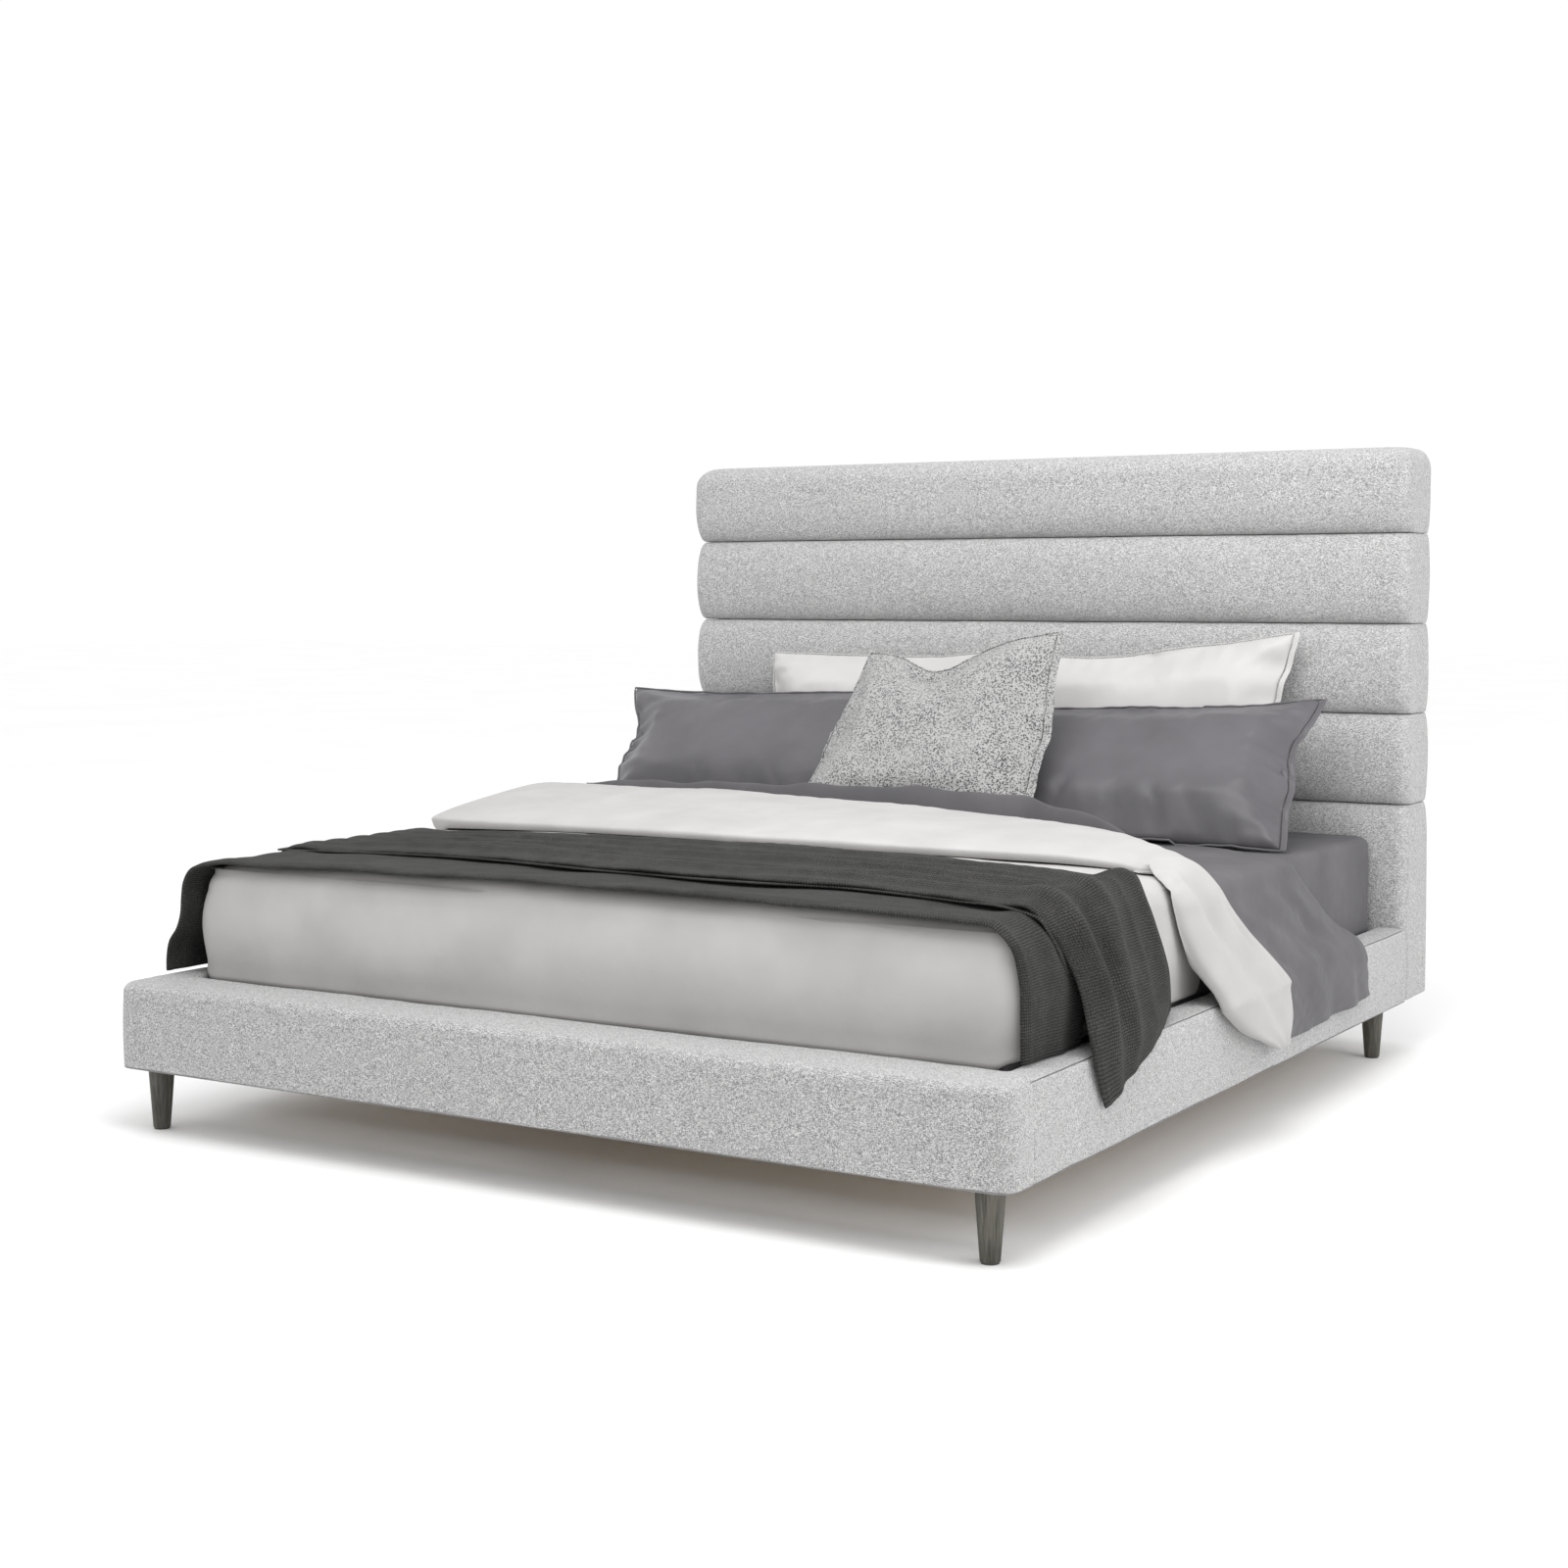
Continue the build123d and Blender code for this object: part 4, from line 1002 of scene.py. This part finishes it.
# Control stations of the turned-over part, from its left end to the tip that hangs over the right rail:
# hem point, fold point, fullness above and below the line between them, and the direction it swells in.
TURNED = [
    ((-1.004, -0.15, 0.582), (-1.000, 0.24, 0.594), 0.022, 0.014, (-0.66, 0, 0.75)),
    ((-1.000, -0.21, 0.584), (-0.998, 0.30, 0.603), 0.052, 0.036, (-0.42, -0.05, 0.90)),
    ((-0.972, -0.245, 0.587), (-0.975, 0.330, 0.608), 0.058, 0.070, (-0.2, -0.08, 0.97)),
    ((-0.800, -0.275, 0.590), (-0.800, 0.338, 0.608), 0.056, 0.080, (0, -0.08, 1)),
    ((-0.500, -0.300, 0.596), (-0.500, 0.338, 0.610), 0.055, 0.080, (0, -0.08, 1)),
    ((-0.200, -0.325, 0.600), (-0.200, 0.322, 0.606), 0.053, 0.080, (0, -0.08, 1)),
    ((0.100, -0.335, 0.602), (0.100, 0.312, 0.600), 0.050, 0.080, (0, -0.08, 1)),
    ((0.350, -0.328, 0.602), (0.350, 0.272, 0.594), 0.047, 0.080, (0, -0.08, 1)),
    ((0.560, -0.305, 0.600), (0.560, 0.180, 0.590), 0.045, 0.080, (0, -0.08, 1)),
    ((0.720, -0.275, 0.595), (0.730, 0.055, 0.588), 0.045, 0.080, (0.06, -0.08, 1)),
    ((0.850, -0.275, 0.587), (0.850, -0.070, 0.584), 0.044, 0.070, (0.2, -0.05, 0.97)),
    ((0.940, -0.325, 0.572), (0.935, -0.150, 0.575), 0.044, 0.060, (0.5, -0.02, 0.86)),
    ((0.985, -0.352, 0.530), (0.985, -0.128, 0.530), 0.044, 0.050, (0.85, 0, 0.52)),
    ((0.998, -0.335, 0.465), (1.000, -0.060, 0.465), 0.046, 0.045, (0.95, 0, 0.3)),
    ((1.018, -0.305, 0.405), (1.022, 0.015, 0.400), 0.046, 0.040, (0.92, 0, 0.38)),
    ((1.055, -0.278, 0.345), (1.056, 0.062, 0.345), 0.040, 0.030, (0.9, 0.02, 0.42)),
    ((1.074, -0.240, 0.290), (1.072, 0.080, 0.298), 0.034, 0.026, (1, 0.02, 0.1)),
    ((1.078, -0.165, 0.247), (1.076, 0.090, 0.255), 0.028, 0.022, (1, 0.02, 0)),
    ((1.078, -0.060, 0.213), (1.076, 0.088, 0.222), 0.022, 0.019, (1, 0.02, -0.05)),
    ((1.077, 0.000, 0.192), (1.076, 0.074, 0.196), 0.019, 0.018, (1, 0.02, -0.1)),
]


def support_x(z):
    """How far out the bed and rail under a hanging layer reach at each height."""
    return np.interp(z, [0.17, 0.322, 0.345, 0.40, 0.50, 0.553, 0.600],
                     [1.0585, 1.0585, 1.050, 1.010, 0.998, 0.988, 0.90])


def duvet_turned():
    stations, around = 210, 72
    table = np.array([[*h, *f, up, down, *way] for h, f, up, down, way in TURNED])
    rows = smooth(table, stations)
    hem, fold, up, down, way = rows[:, 0:3], rows[:, 3:6], rows[:, 6], rows[:, 7], rows[:, 8:11]
    way = way / np.linalg.norm(way, axis=1)[:, None]
    phi = np.linspace(0, 2 * math.pi, around, endpoint=False)
    share = 0.5 - 0.5 * np.cos(phi)
    full = np.abs(np.sin(phi)) ** 0.62 * np.where(np.sin(phi) >= 0, 1, -1)
    place = np.linspace(0, 1, stations)[:, None]
    hang = ease(hem[:, 2:3], 0.585, 0.50)
    lopsided = (0.34 + 0.66 * share[None]) * (1 - hang) + hang
    height = np.where(full > 0, full * up[:, None] * lopsided, full * down[:, None])
    upper = (full > 0) * np.abs(full)
    crease = (0.014 * bell(share[None], 0.36, 0.08) * bell(place, 0.80, 0.09)
              + 0.016 * bell(share[None], 0.48, 0.09) * bell(place, 0.90, 0.05)
              + 0.007 * bell(share[None], 0.74, 0.06) * bell(place, 0.86, 0.07)
              + 0.005 * bell(share[None], 0.22, 0.05) * bell(place, 0.70, 0.06)) * upper
    p = hem[:, None] + (fold - hem)[:, None] * share[None, :, None] + way[:, None] * (height - crease)[..., None]
    soft_waves = ripple(p * [0.8, 1, 1], 0.34, 211) * 0.0030 + ripple(p * [1.5, 0.5, 1], 0.10, 212) * 0.0011
    near_hem = bell(share[None], 0.08, 0.14) * upper
    gathers = ripple(p * [2.2, 0.35, 1], 0.05, 213) * 0.0022 * near_hem * ease(place, 0.45, 0.62)
    tip = np.sin(share[None] * 6 * math.pi + 1) * 0.0028 * ease(place, 0.90, 1.0)
    p += way[:, None] * ((soft_waves + gathers + tip) * upper)[..., None]
    lower = full[None] <= 0.02
    rest = np.where(p[..., 1] < 0.30 - duvet_skew(p[..., 0]), duvet_top(p[..., 0], p[..., 1]) + 0.004,
                    SHEET_TOP + 0.0045)
    flat = (p[..., 2] < rest) & (np.abs(p[..., 0]) < 0.93) & lower
    p[..., 2] = np.where(flat, rest, p[..., 2])
    on_edge = ease(np.abs(p[..., 0]), 0.90, 0.97)
    p[..., 2] = np.where(lower & (p[..., 0] < -0.90), np.maximum(p[..., 2], rest - 0.02 * on_edge), p[..., 2])
    outside = (p[..., 0] > 0.90) & (p[..., 0] < support_x(p[..., 2]))
    p[..., 0] = np.where(outside, support_x(p[..., 2]), p[..., 0])
    end = p[-1]
    centre = end.mean(0)
    inner = []
    for size, depth in ((0.90, -0.003), (0.76, 0.000), (0.66, 0.012), (0.55, 0.030), (0.30, 0.036)):
        inner.append(centre + (end - centre) * size + np.array([0, 0, depth]))
    first = p[0]
    cap = [first.mean(0) + (first - first.mean(0)) * s for s in (0.15, 0.6, 0.9)]
    piece = loft("duvet_turned_back", np.concatenate([cap, p, inner]), DUVET_WHITE, "duvet_layer")
    return soft(piece, "duvet_white", "duvet")


# ---- Throw ----
THROW = 0.007        # thickness of the knit
ON_DUVET = 0.0105    # how high the throw's upper side lies over the duvet


def fold_line(x):
    """Where the throw's upper layer is folded under, seen from above."""
    return np.interp(x, [-1.0, -0.8, -0.3, 0.0, 0.3, 0.55, 0.8, 0.95],
                     [-0.80, -0.815, -0.855, -0.90, -0.915, -0.865, -0.895, -0.925])


def stack(x):
    """How much higher the upper layer's front fold stands than its rear, over the layers under it."""
    return 0.0185 - 0.0095 * ease(-x, 0.35, 0.93)


def throw_rear(x):
    """Where the throw ends towards the head."""
    return np.interp(x, [-1.0, -0.6, 0.0, 0.5, 0.8, 0.95], [-0.40, -0.385, -0.375, -0.385, -0.40, -0.43])


TOP_X = np.array([-0.93, -0.80, -0.60, -0.40, -0.20, 0.0, 0.20, 0.40, 0.60, 0.75, 0.88])
LEFT_DROP = [(-1.046, 0.3245), (-1.046, 0.350), (-1.038, 0.388), (-1.014, 0.420), (-1.002, 0.450), (-0.998, 0.485),
             (-0.992, 0.520), (-0.970, 0.551)]


def throw_lower():
    """The front part, that hangs inside the right rail."""
    rows, columns = 34, 330
    right = np.array([[(0.945, -1.041, 0.562), (0.975, -1.038, 0.532), (0.991, -1.034, 0.478),
                       (0.996, -1.030, 0.40), (0.995, -1.026, 0.3225)],
                      [(0.945, -0.86, 0.568), (0.978, -0.87, 0.540), (0.997, -0.835, 0.480),
                       (1.002, -0.79, 0.40), (0.999, -0.805, 0.3235)]])
    net = []
    for k in (0, 0.3, 0.6, 1):
        line = [(x, -1.060 + 0.34 * k, z) for x, z in LEFT_DROP]
        for x in TOP_X:
            y = -1.041 + (fold_line(x) + 0.10 + 1.041) * k
            line.append((x, y, float(duvet_top(x, y)) + ON_DUVET))
        line += [tuple(a * (1 - k) + b * k) for a, b in zip(*right)]
        net.append(line)
    top = patch(net, rows, columns)
    v = np.linspace(0, 1, rows)[:, None]
    u = np.linspace(0, 1, columns)[None]
    hem = 0.0030 * bell(v, 0.085, 0.05) - 0.0015 * bell(v, 0.0, 0.03)
    fold = 0.004 * bell(v, 0.55 + 0.1 * np.sin(9 * u), 0.16) * ease(u, 0.82, 0.9)
    lift = hem + 0.0016 * ripple(top * [0.6, 1.5, 1], 0.16, 301) + fold
    top = folded(top, -lift if grid_normals(top)[rows // 2, columns // 2, 2] < 0 else lift)
    return slab_parts(top, THROW)


def throw_upper():
    """The rear part: folded under along its front, draped in long soft folds, one corner over the right rail."""
    rows, columns = 150, 380
    right = {
        0.0: [(0.955, -0.925, 0.588), (0.988, -0.912, 0.550), (1.006, -0.875, 0.490), (1.024, -0.858, 0.425),
              (1.050, -0.878, 0.357), (1.064, -0.880, 0.312), (1.066, -0.832, 0.219)],
        0.33: [(0.955, -0.745, 0.590), (0.988, -0.745, 0.552), (1.006, -0.735, 0.490), (1.024, -0.725, 0.425),
               (1.050, -0.730, 0.357), (1.065, -0.738, 0.322), (1.067, -0.740, 0.261)],
        0.66: [(0.955, -0.575, 0.594), (0.988, -0.585, 0.554), (1.005, -0.575, 0.490), (1.018, -0.565, 0.420),
               (1.040, -0.585, 0.358), (1.063, -0.612, 0.328), (1.067, -0.640, 0.290)],
        1.0: [(0.950, -0.440, 0.596), (0.985, -0.470, 0.556), (1.000, -0.445, 0.490), (1.004, -0.408, 0.425),
              (1.006, -0.393, 0.385), (1.007, -0.392, 0.356), (1.008, -0.396, 0.3245)],
    }
    net = []
    for k in (0.0, 0.33, 0.66, 1.0):
        line = [(x - 0.008, (-0.80 - 0.7 * (0.551 - z)) * (1 - k) - 0.40 * k, z) for x, z in LEFT_DROP]
        for x in TOP_X:
            y = fold_line(x) + (throw_rear(x) - fold_line(x)) * k
            line.append((x, y, float(duvet_top(x, y)) + 0.0115 + stack(x) * (1 - k) ** 2))
        net.append(line + right[k])
    top = patch(net, rows, columns)
    v = np.linspace(0, 1, rows)[:, None]
    u = np.linspace(0, 1, columns)[None]
    side = ease(u, 0.76, 0.92)
    sway = 0.028 * np.sin(7.5 * u + 0.6) + 0.014 * np.sin(17 * u + 2.0) + 0.05 * side * np.sin(5.5 * v)
    high_fold = 0.0135 + 0.015 * side
    calm = 1 - 0.75 * side
    lift = (high_fold * bell(v, 0.12 + sway * 0.5, 0.040 + 0.03 * side) + 0.0120 * calm * bell(v, 0.29 + sway, 0.040)
            + high_fold * bell(v, 0.47 - sway * 0.8 + 0.04 * np.sin(11 * u), 0.040 + 0.045 * side)
            + 0.0110 * calm * bell(v, 0.67 + sway * 0.7, 0.038)
            + (0.0090 + 0.005 * side) * bell(v, 0.84 - sway * 0.5, 0.036 + 0.03 * side))
    lift += (0.0016 * ripple(top * [0.5, 1.3, 1], 0.11, 311) + 0.0004 * ripple(top, 0.035, 312)) * (1 - 0.6 * side)
    lift *= (0.15 + 0.85 * ease(u, 0.10, 0.25)) * (1 - 0.75 * ease(u, 0.945, 1.0))
    slack = (0.0040 + 0.0040 * np.sin(2 * math.pi * (1.6 * v + 1.2 * u))) * ease(u, 0.84, 0.95)
    lift += slack * (1 - 0.7 * ease(u, 0.95, 1.0))
    lift -= 0.004 * bell(v, 0.0, 0.018)
    sign = 1 if grid_normals(top)[rows // 2, columns // 2, 2] > 0 else -1
    top = folded(top, lift * sign)
    return slab_parts(top, THROW)


def throw_lip():
    """The layer between, whose fold shows as a second line under the upper one."""
    rows, columns = 9, 300
    net = []
    for k in (0, 1):
        line = []
        for x in np.linspace(-0.955, 0.93, 15):
            y = fold_line(x) - 0.006 + 0.05 * k + 0.003 * math.sin(x * 11)
            line.append((x, y, float(duvet_top(x, y)) + ON_DUVET + 0.46 * stack(x)))
        line += [(x, y + 0.05 * k, z)
                 for x, y, z in ((0.972, -0.928, 0.566), (0.994, -0.905, 0.520), (1.003, -0.868, 0.462))]
        net.append(line)
    return slab_parts(patch(net, rows, columns), 0.0042)


def throw():
    piece = joined("knitted_throw", [throw_lower(), throw_upper(), throw_lip()], KNIT, "throw_layer")
    return soft(piece, "throw_charcoal", "throw")


flat_sheet()
duvet_main()
duvet_turned()
throw()


# ---- Pillows ----
EDGE_PULL = 0.14     # how much of the cloth's draw-in between the corners stays
MOST_TRAVEL = 0.096  # how far a point may move while a pillow is blown up


def pillow_grid(width, height, nx, ny, start):
    """Two flat grids that share their edge, a little apart in the middle: (points, faces, edge loop)."""
    gx, gy = np.meshgrid(np.linspace(-0.5, 0.5, nx), np.linspace(-0.5, 0.5, ny))
    dome = (np.cos(math.pi * gx) * np.cos(math.pi * gy)).clip(0) ** 0.5 * start
    front = np.stack([gx * width, gy * height, dome], -1)
    inner = np.zeros((ny, nx), bool)
    inner[1:-1, 1:-1] = True
    index = np.arange(ny * nx).reshape(ny, nx)
    back_index = index.copy()
    back_index[inner] = ny * nx + np.arange(inner.sum())
    back = front[inner] * [1, 1, -1]
    corners = lambda k: np.stack([k[:-1, :-1], k[:-1, 1:], k[1:, 1:], k[1:, :-1]], -1).reshape(-1, 4)
    faces = np.concatenate([corners(index), corners(back_index)[:, ::-1]])
    loop = np.concatenate([index[0], index[1:, -1], index[-1, -2::-1], index[-2:0:-1, 0]])
    points = np.concatenate([front.reshape(-1, 3), back])
    return points, faces, loop


def inflate(points, faces, pressure, frames, stiffness, bending):
    """Blows a closed cloth up with no gravity, and returns where its points come to rest."""
    mesh = bpy.data.meshes.new("inflating")
    mesh.from_pydata(points.tolist(), [], faces.tolist())
    obj = add("inflating", mesh)
    cloth = obj.modifiers.new("cloth", "CLOTH")
    s = cloth.settings
    s.quality = 6
    s.mass = 0.25
    s.tension_stiffness = s.compression_stiffness = stiffness
    s.shear_stiffness = stiffness * 0.4
    s.bending_stiffness = bending
    s.use_pressure = True
    s.uniform_pressure_force = pressure
    s.effector_weights.gravity = 0
    cloth.point_cache.frame_start, cloth.point_cache.frame_end = 1, frames
    scene = bpy.context.scene
    for f in range(1, frames + 1):
        scene.frame_set(f)
    made = obj.evaluated_get(bpy.context.evaluated_depsgraph_get()).to_mesh()
    out = np.zeros(len(points) * 3)
    made.vertices.foreach_get("co", out)
    scene.frame_set(1)
    bpy.data.objects.remove(obj)
    return out.reshape(-1, 3)


def plump(points, faces, width, height, thickness):
    """A pillow's cloth at rest: blown up, its point travel capped, and set to its own width, height and thickness."""
    soft_points = inflate(points, faces, pressure=4.0, frames=20, stiffness=18, bending=0.35)
    travel = soft_points - points
    size = np.linalg.norm(travel, axis=1)[:, None]
    soft_points = points + travel * np.minimum(1, MOST_TRAVEL / np.maximum(size, 1e-9))
    span = soft_points.max(0) - soft_points.min(0)
    soft_points -= (soft_points.max(0) + soft_points.min(0)) / 2
    soft_points *= np.array([width, height, thickness]) / span
    kept = np.array([EDGE_PULL, EDGE_PULL, 1.0])
    return points * (1 - kept) + soft_points * kept


def placed(points, size, corners):
    """A pillow lying in its own plane, stood up between four corners: low left, low right, high right, high left."""
    c = np.array(corners, float)
    u = (points[:, 0] / size[0] + 0.5)[:, None]
    v = (points[:, 1] / size[1] + 0.5)[:, None]
    low_edge = c[0] + (c[1] - c[0]) * u
    high_edge = c[3] + (c[2] - c[3]) * u
    front = np.cross(c[2] - c[0], c[1] - c[3])
    front /= -np.linalg.norm(front) * (1 if front[1] > 0 else -1)
    return low_edge + (high_edge - low_edge) * v + front * points[:, 2:3]


def edge_strip(points, run, outward, width, lift, thickness=0.0022):
    """A flat hem sewn on outside a run of edge points."""
    p = points[run]
    steps = np.linspace(0, 1, 6)[:, None, None]
    wave = np.sin(np.linspace(0, 1, len(run)) * 21 + 0.6)[None, :, None] * lift
    top = p[None] + outward * width * steps + np.array([0, 0, 1]) * wave * steps
    return slab_parts(top + np.array([0, 0, thickness / 2]), thickness)


def pillow(name, node, material, slot, size, corners, body, shape, hem=0.0, piping=0.0,
           grid=(76, 42)):
    """One stuffed pillow. shape changes its resting form in its own plane before it is stood up; hem is the width
    of a flat hem outside its right edge."""
    width, height, thickness = size
    points, faces, loop = pillow_grid(width, height, grid[0], grid[1], thickness * 0.12)
    soft_points = shape(plump(points, faces, width, height, thickness))
    nx, ny = grid
    stand = placed(soft_points, size, corners)
    piece = make(name, stand, faces, material, body)
    more = piece.modifiers.new("rounding", "SUBSURF")
    more.levels = more.render_levels = 1
    soft(piece, slot, node)
    if piping:
        soft(tube(f"{name}_piping", stand[loop], piping, material, body, closed=True), slot)
    if hem:
        right = (np.arange(ny) * nx + nx - 1)[::-1]
        strip, strip_faces, _ = edge_strip(soft_points, right, np.array([1.0, 0, 0]), hem, 0.0022)
        soft(make(f"{name}_hem_right", placed(strip, size, corners), strip_faces, material, body), slot)


def creased(p, seed, ends=0.0, size=0.0026):
    """Creases that run in from the ends, and slight unevenness."""
    q = p.copy()
    half_w, half_h = np.abs(p[:, 0]).max(), np.abs(p[:, 1]).max()
    near_end = ease(np.abs(p[:, 0]), half_w * 0.62, half_w * 0.98)
    near_edge = ease(np.abs(p[:, 1]), half_h * 0.55, half_h * 0.97)
    side = np.sign(p[:, 2] + 1e-9)
    body = 1 - np.maximum(ease(np.abs(p[:, 0]), half_w * 0.965, half_w), ease(np.abs(p[:, 1]), half_h * 0.955, half_h))
    fans = ripple(p * [0.45, 2.4, 0.3], 0.10, seed) * size * near_end * (1 + ends)
    pulls = ripple(p * [2.4, 0.4, 0.3], 0.10, seed + 1) * size * 0.5 * near_edge
    broad = ripple(p * [1, 1, 0.2], 0.30, seed + 2) * size * 1.1
    q[:, 2] += side * (fans + pulls + broad) * body
    return q


def grey_shape(sign):
    """Fuller low down, its outer end drawn in below the top corner."""
    def shape(p):
        q = creased(p, 400 + sign, ends=1.4, size=0.0034)
        across, up = p[:, 0] / 0.4525 * sign, p[:, 1] / 0.2475
        end = ease(across, 0.35, 1.0)
        q[:, 0] -= sign * end * (0.034 * bell(up, 0.25, 0.42) + 0.010 * bell(up, -0.55, 0.3))
        q[:, 1] -= 0.010 * ease(up, 0.3, 1.0) * bell(across, 0.35, 0.5)
        q[:, 1] -= 0.008 * ease(-up, 0.6, 1.0) * (1 - np.abs(across).clip(0, 1) ** 2)
        q[:, 2] *= 1 + 0.20 * (-up) - 0.10 * end * ease(up, 0.2, 1.0)
        return q
    return shape


def white_shape(sign):
    """Softly dented along the top, its outer end drawn in."""
    def shape(p):
        q = creased(p, 420 + sign, ends=0.6, size=0.0042)
        across, up = p[:, 0] / 0.365 * sign, p[:, 1] / 0.2425
        q[:, 1] -= 0.020 * ease(up, 0.2, 1.0) * bell(across, -0.35, 0.55) * (1 if sign > 0 else 0.4)
        q[:, 0] -= sign * 0.014 * ease(across, 0.4, 1.0) * bell(up, 0.2, 0.5)
        return q
    return shape


def accent_shape(p):
    """Chopped in at the top, with its corners up, and full low down."""
    q = creased(p, 440, ends=0.5, size=0.0034)
    half = 0.285
    up, across = p[:, 1] / half, p[:, 0] / 0.30
    dip = bell(across, -0.16, 0.40) * ease(up, 0.0, 1.0)
    q[:, 1] -= 0.078 * dip
    hollow = bell(across, -0.16, 0.36) * bell(up, 0.72, 0.30)
    q[:, 2] -= 0.030 * hollow * np.sign(p[:, 2] + 1e-9) * ease(np.abs(p[:, 2]), 0.0, 0.03)
    fold = bell(across + 0.55 * (up - 0.2), 0.12, 0.16) * bell(up, 0.15, 0.5)
    q[:, 2] -= 0.010 * fold * (p[:, 2] > 0)
    q[:, 0] += (0.022 * ease(across, 0.4, 1.0) * bell(up, 0.0, 0.5)
                - 0.010 * ease(-across, 0.4, 1.0) * bell(up, 0.0, 0.6))
    q[:, 2] *= 1 - 0.16 * up
    return q


def pillows():
    pillow("pillow_white_a", "pillow_white_left", PILLOW_WHITE, "pillow_white", (0.730, 0.470, 0.140),
           [(-0.735, 0.868, 0.555), (-0.005, 0.868, 0.555), (-0.010, 0.975, 0.992), (-0.753, 0.978, 0.976)],
           "white_pillow_left", white_shape(-1), piping=0.0014, grid=(64, 42))
    pillow("pillow_white_b", "pillow_white_right", PILLOW_WHITE, "pillow_white", (0.740, 0.470, 0.140),
           [(0.030, 0.868, 0.555), (0.745, 0.868, 0.555), (0.778, 0.980, 1.043), (0.030, 0.978, 0.985)],
           "white_pillow_right", white_shape(1), hem=0.012, piping=0.0014, grid=(64, 42))
    pillow("pillow_grey_a", "pillow_grey_left", PILLOW_GREY, "pillow_grey", (0.895, 0.490, 0.150),
           [(-0.990, 0.498, 0.558), (-0.165, 0.498, 0.560), (-0.150, 0.858, 0.884), (-1.128, 0.835, 0.872)],
           "grey_pillow_left", grey_shape(-1), piping=0.0030)
    pillow("pillow_grey_b", "pillow_grey_right", PILLOW_GREY, "pillow_grey", (0.895, 0.490, 0.150),
           [(0.020, 0.498, 0.556), (0.914, 0.498, 0.549), (0.888, 0.862, 0.885), (0.035, 0.862, 0.842)],
           "grey_pillow_right", grey_shape(1), hem=0.012, piping=0.0030)
    pillow("pillow_tweed", "pillow_accent", TWEED, "accent_tweed", (0.600, 0.570, 0.150),
           [(-0.330, 0.372, 0.568), (0.308, 0.372, 0.566), (0.270, 0.682, 1.044), (-0.262, 0.668, 0.985)],
           "accent_cushion", accent_shape, hem=0.018, piping=0.0024, grid=(56, 52))


pillows()


# ---- Studio ----
def floor():
    """A pale floor, far wider than the view."""
    mesh = bpy.data.meshes.new("floor")
    mesh.from_pydata([(-40, -40, 0), (40, -40, 0), (40, 40, 0), (-40, 40, 0)], [], [(0, 1, 2, 3)])
    paint = Paint("pale_floor", 0.9, specular=0.1)
    paint.colour(paint.ramp(paint.noise(0.8, 2), [(0.3, 0.965), (0.7, 0.985)]))
    mesh.materials.append(paint.made)
    add("floor", mesh)


def softbox(name, place, target, size, power):
    """A round area light that points at a target and isn't seen itself."""
    light = bpy.data.lights.new(name, "AREA")
    light.shape = "DISK"
    light.size = size
    light.energy = power
    obj = add(name, light)
    obj.location = place
    obj.rotation_euler = (Vector(target) - Vector(place)).to_track_quat("-Z", "Y").to_euler()
    obj.visible_camera = False


def studio():
    floor()
    softbox("over_bed", (0.7, -1.1, 3.0), (-0.1, 0.9, 0.9), 2.8, 72)
    softbox("right", (4.6, 0.0, 2.0), (0.9, 0.0, 0.4), 2.2, 40)
    world = bpy.data.worlds.new("studio")
    world.use_nodes = True
    world.node_tree.nodes["Background"].inputs["Color"].default_value = (1, 1, 1, 1)
    world.node_tree.nodes["Background"].inputs["Strength"].default_value = 1.02
    bpy.context.scene.world = world
    bpy.context.scene.view_settings.view_transform = "Standard"


def camera():
    """Solved from the corners of the rails, the headboard and the legs."""
    data = bpy.data.cameras.new("camera")
    data.lens = 54.5
    data.sensor_width = 36.0
    data.shift_y = -0.0625
    obj = add("camera", data)
    obj.location = (2.7665, -4.7395, 1.1401)
    obj.rotation_euler = (math.pi / 2 - 0.0389, 0.0, 0.5471)
    bpy.context.scene.camera = obj


studio()
camera()
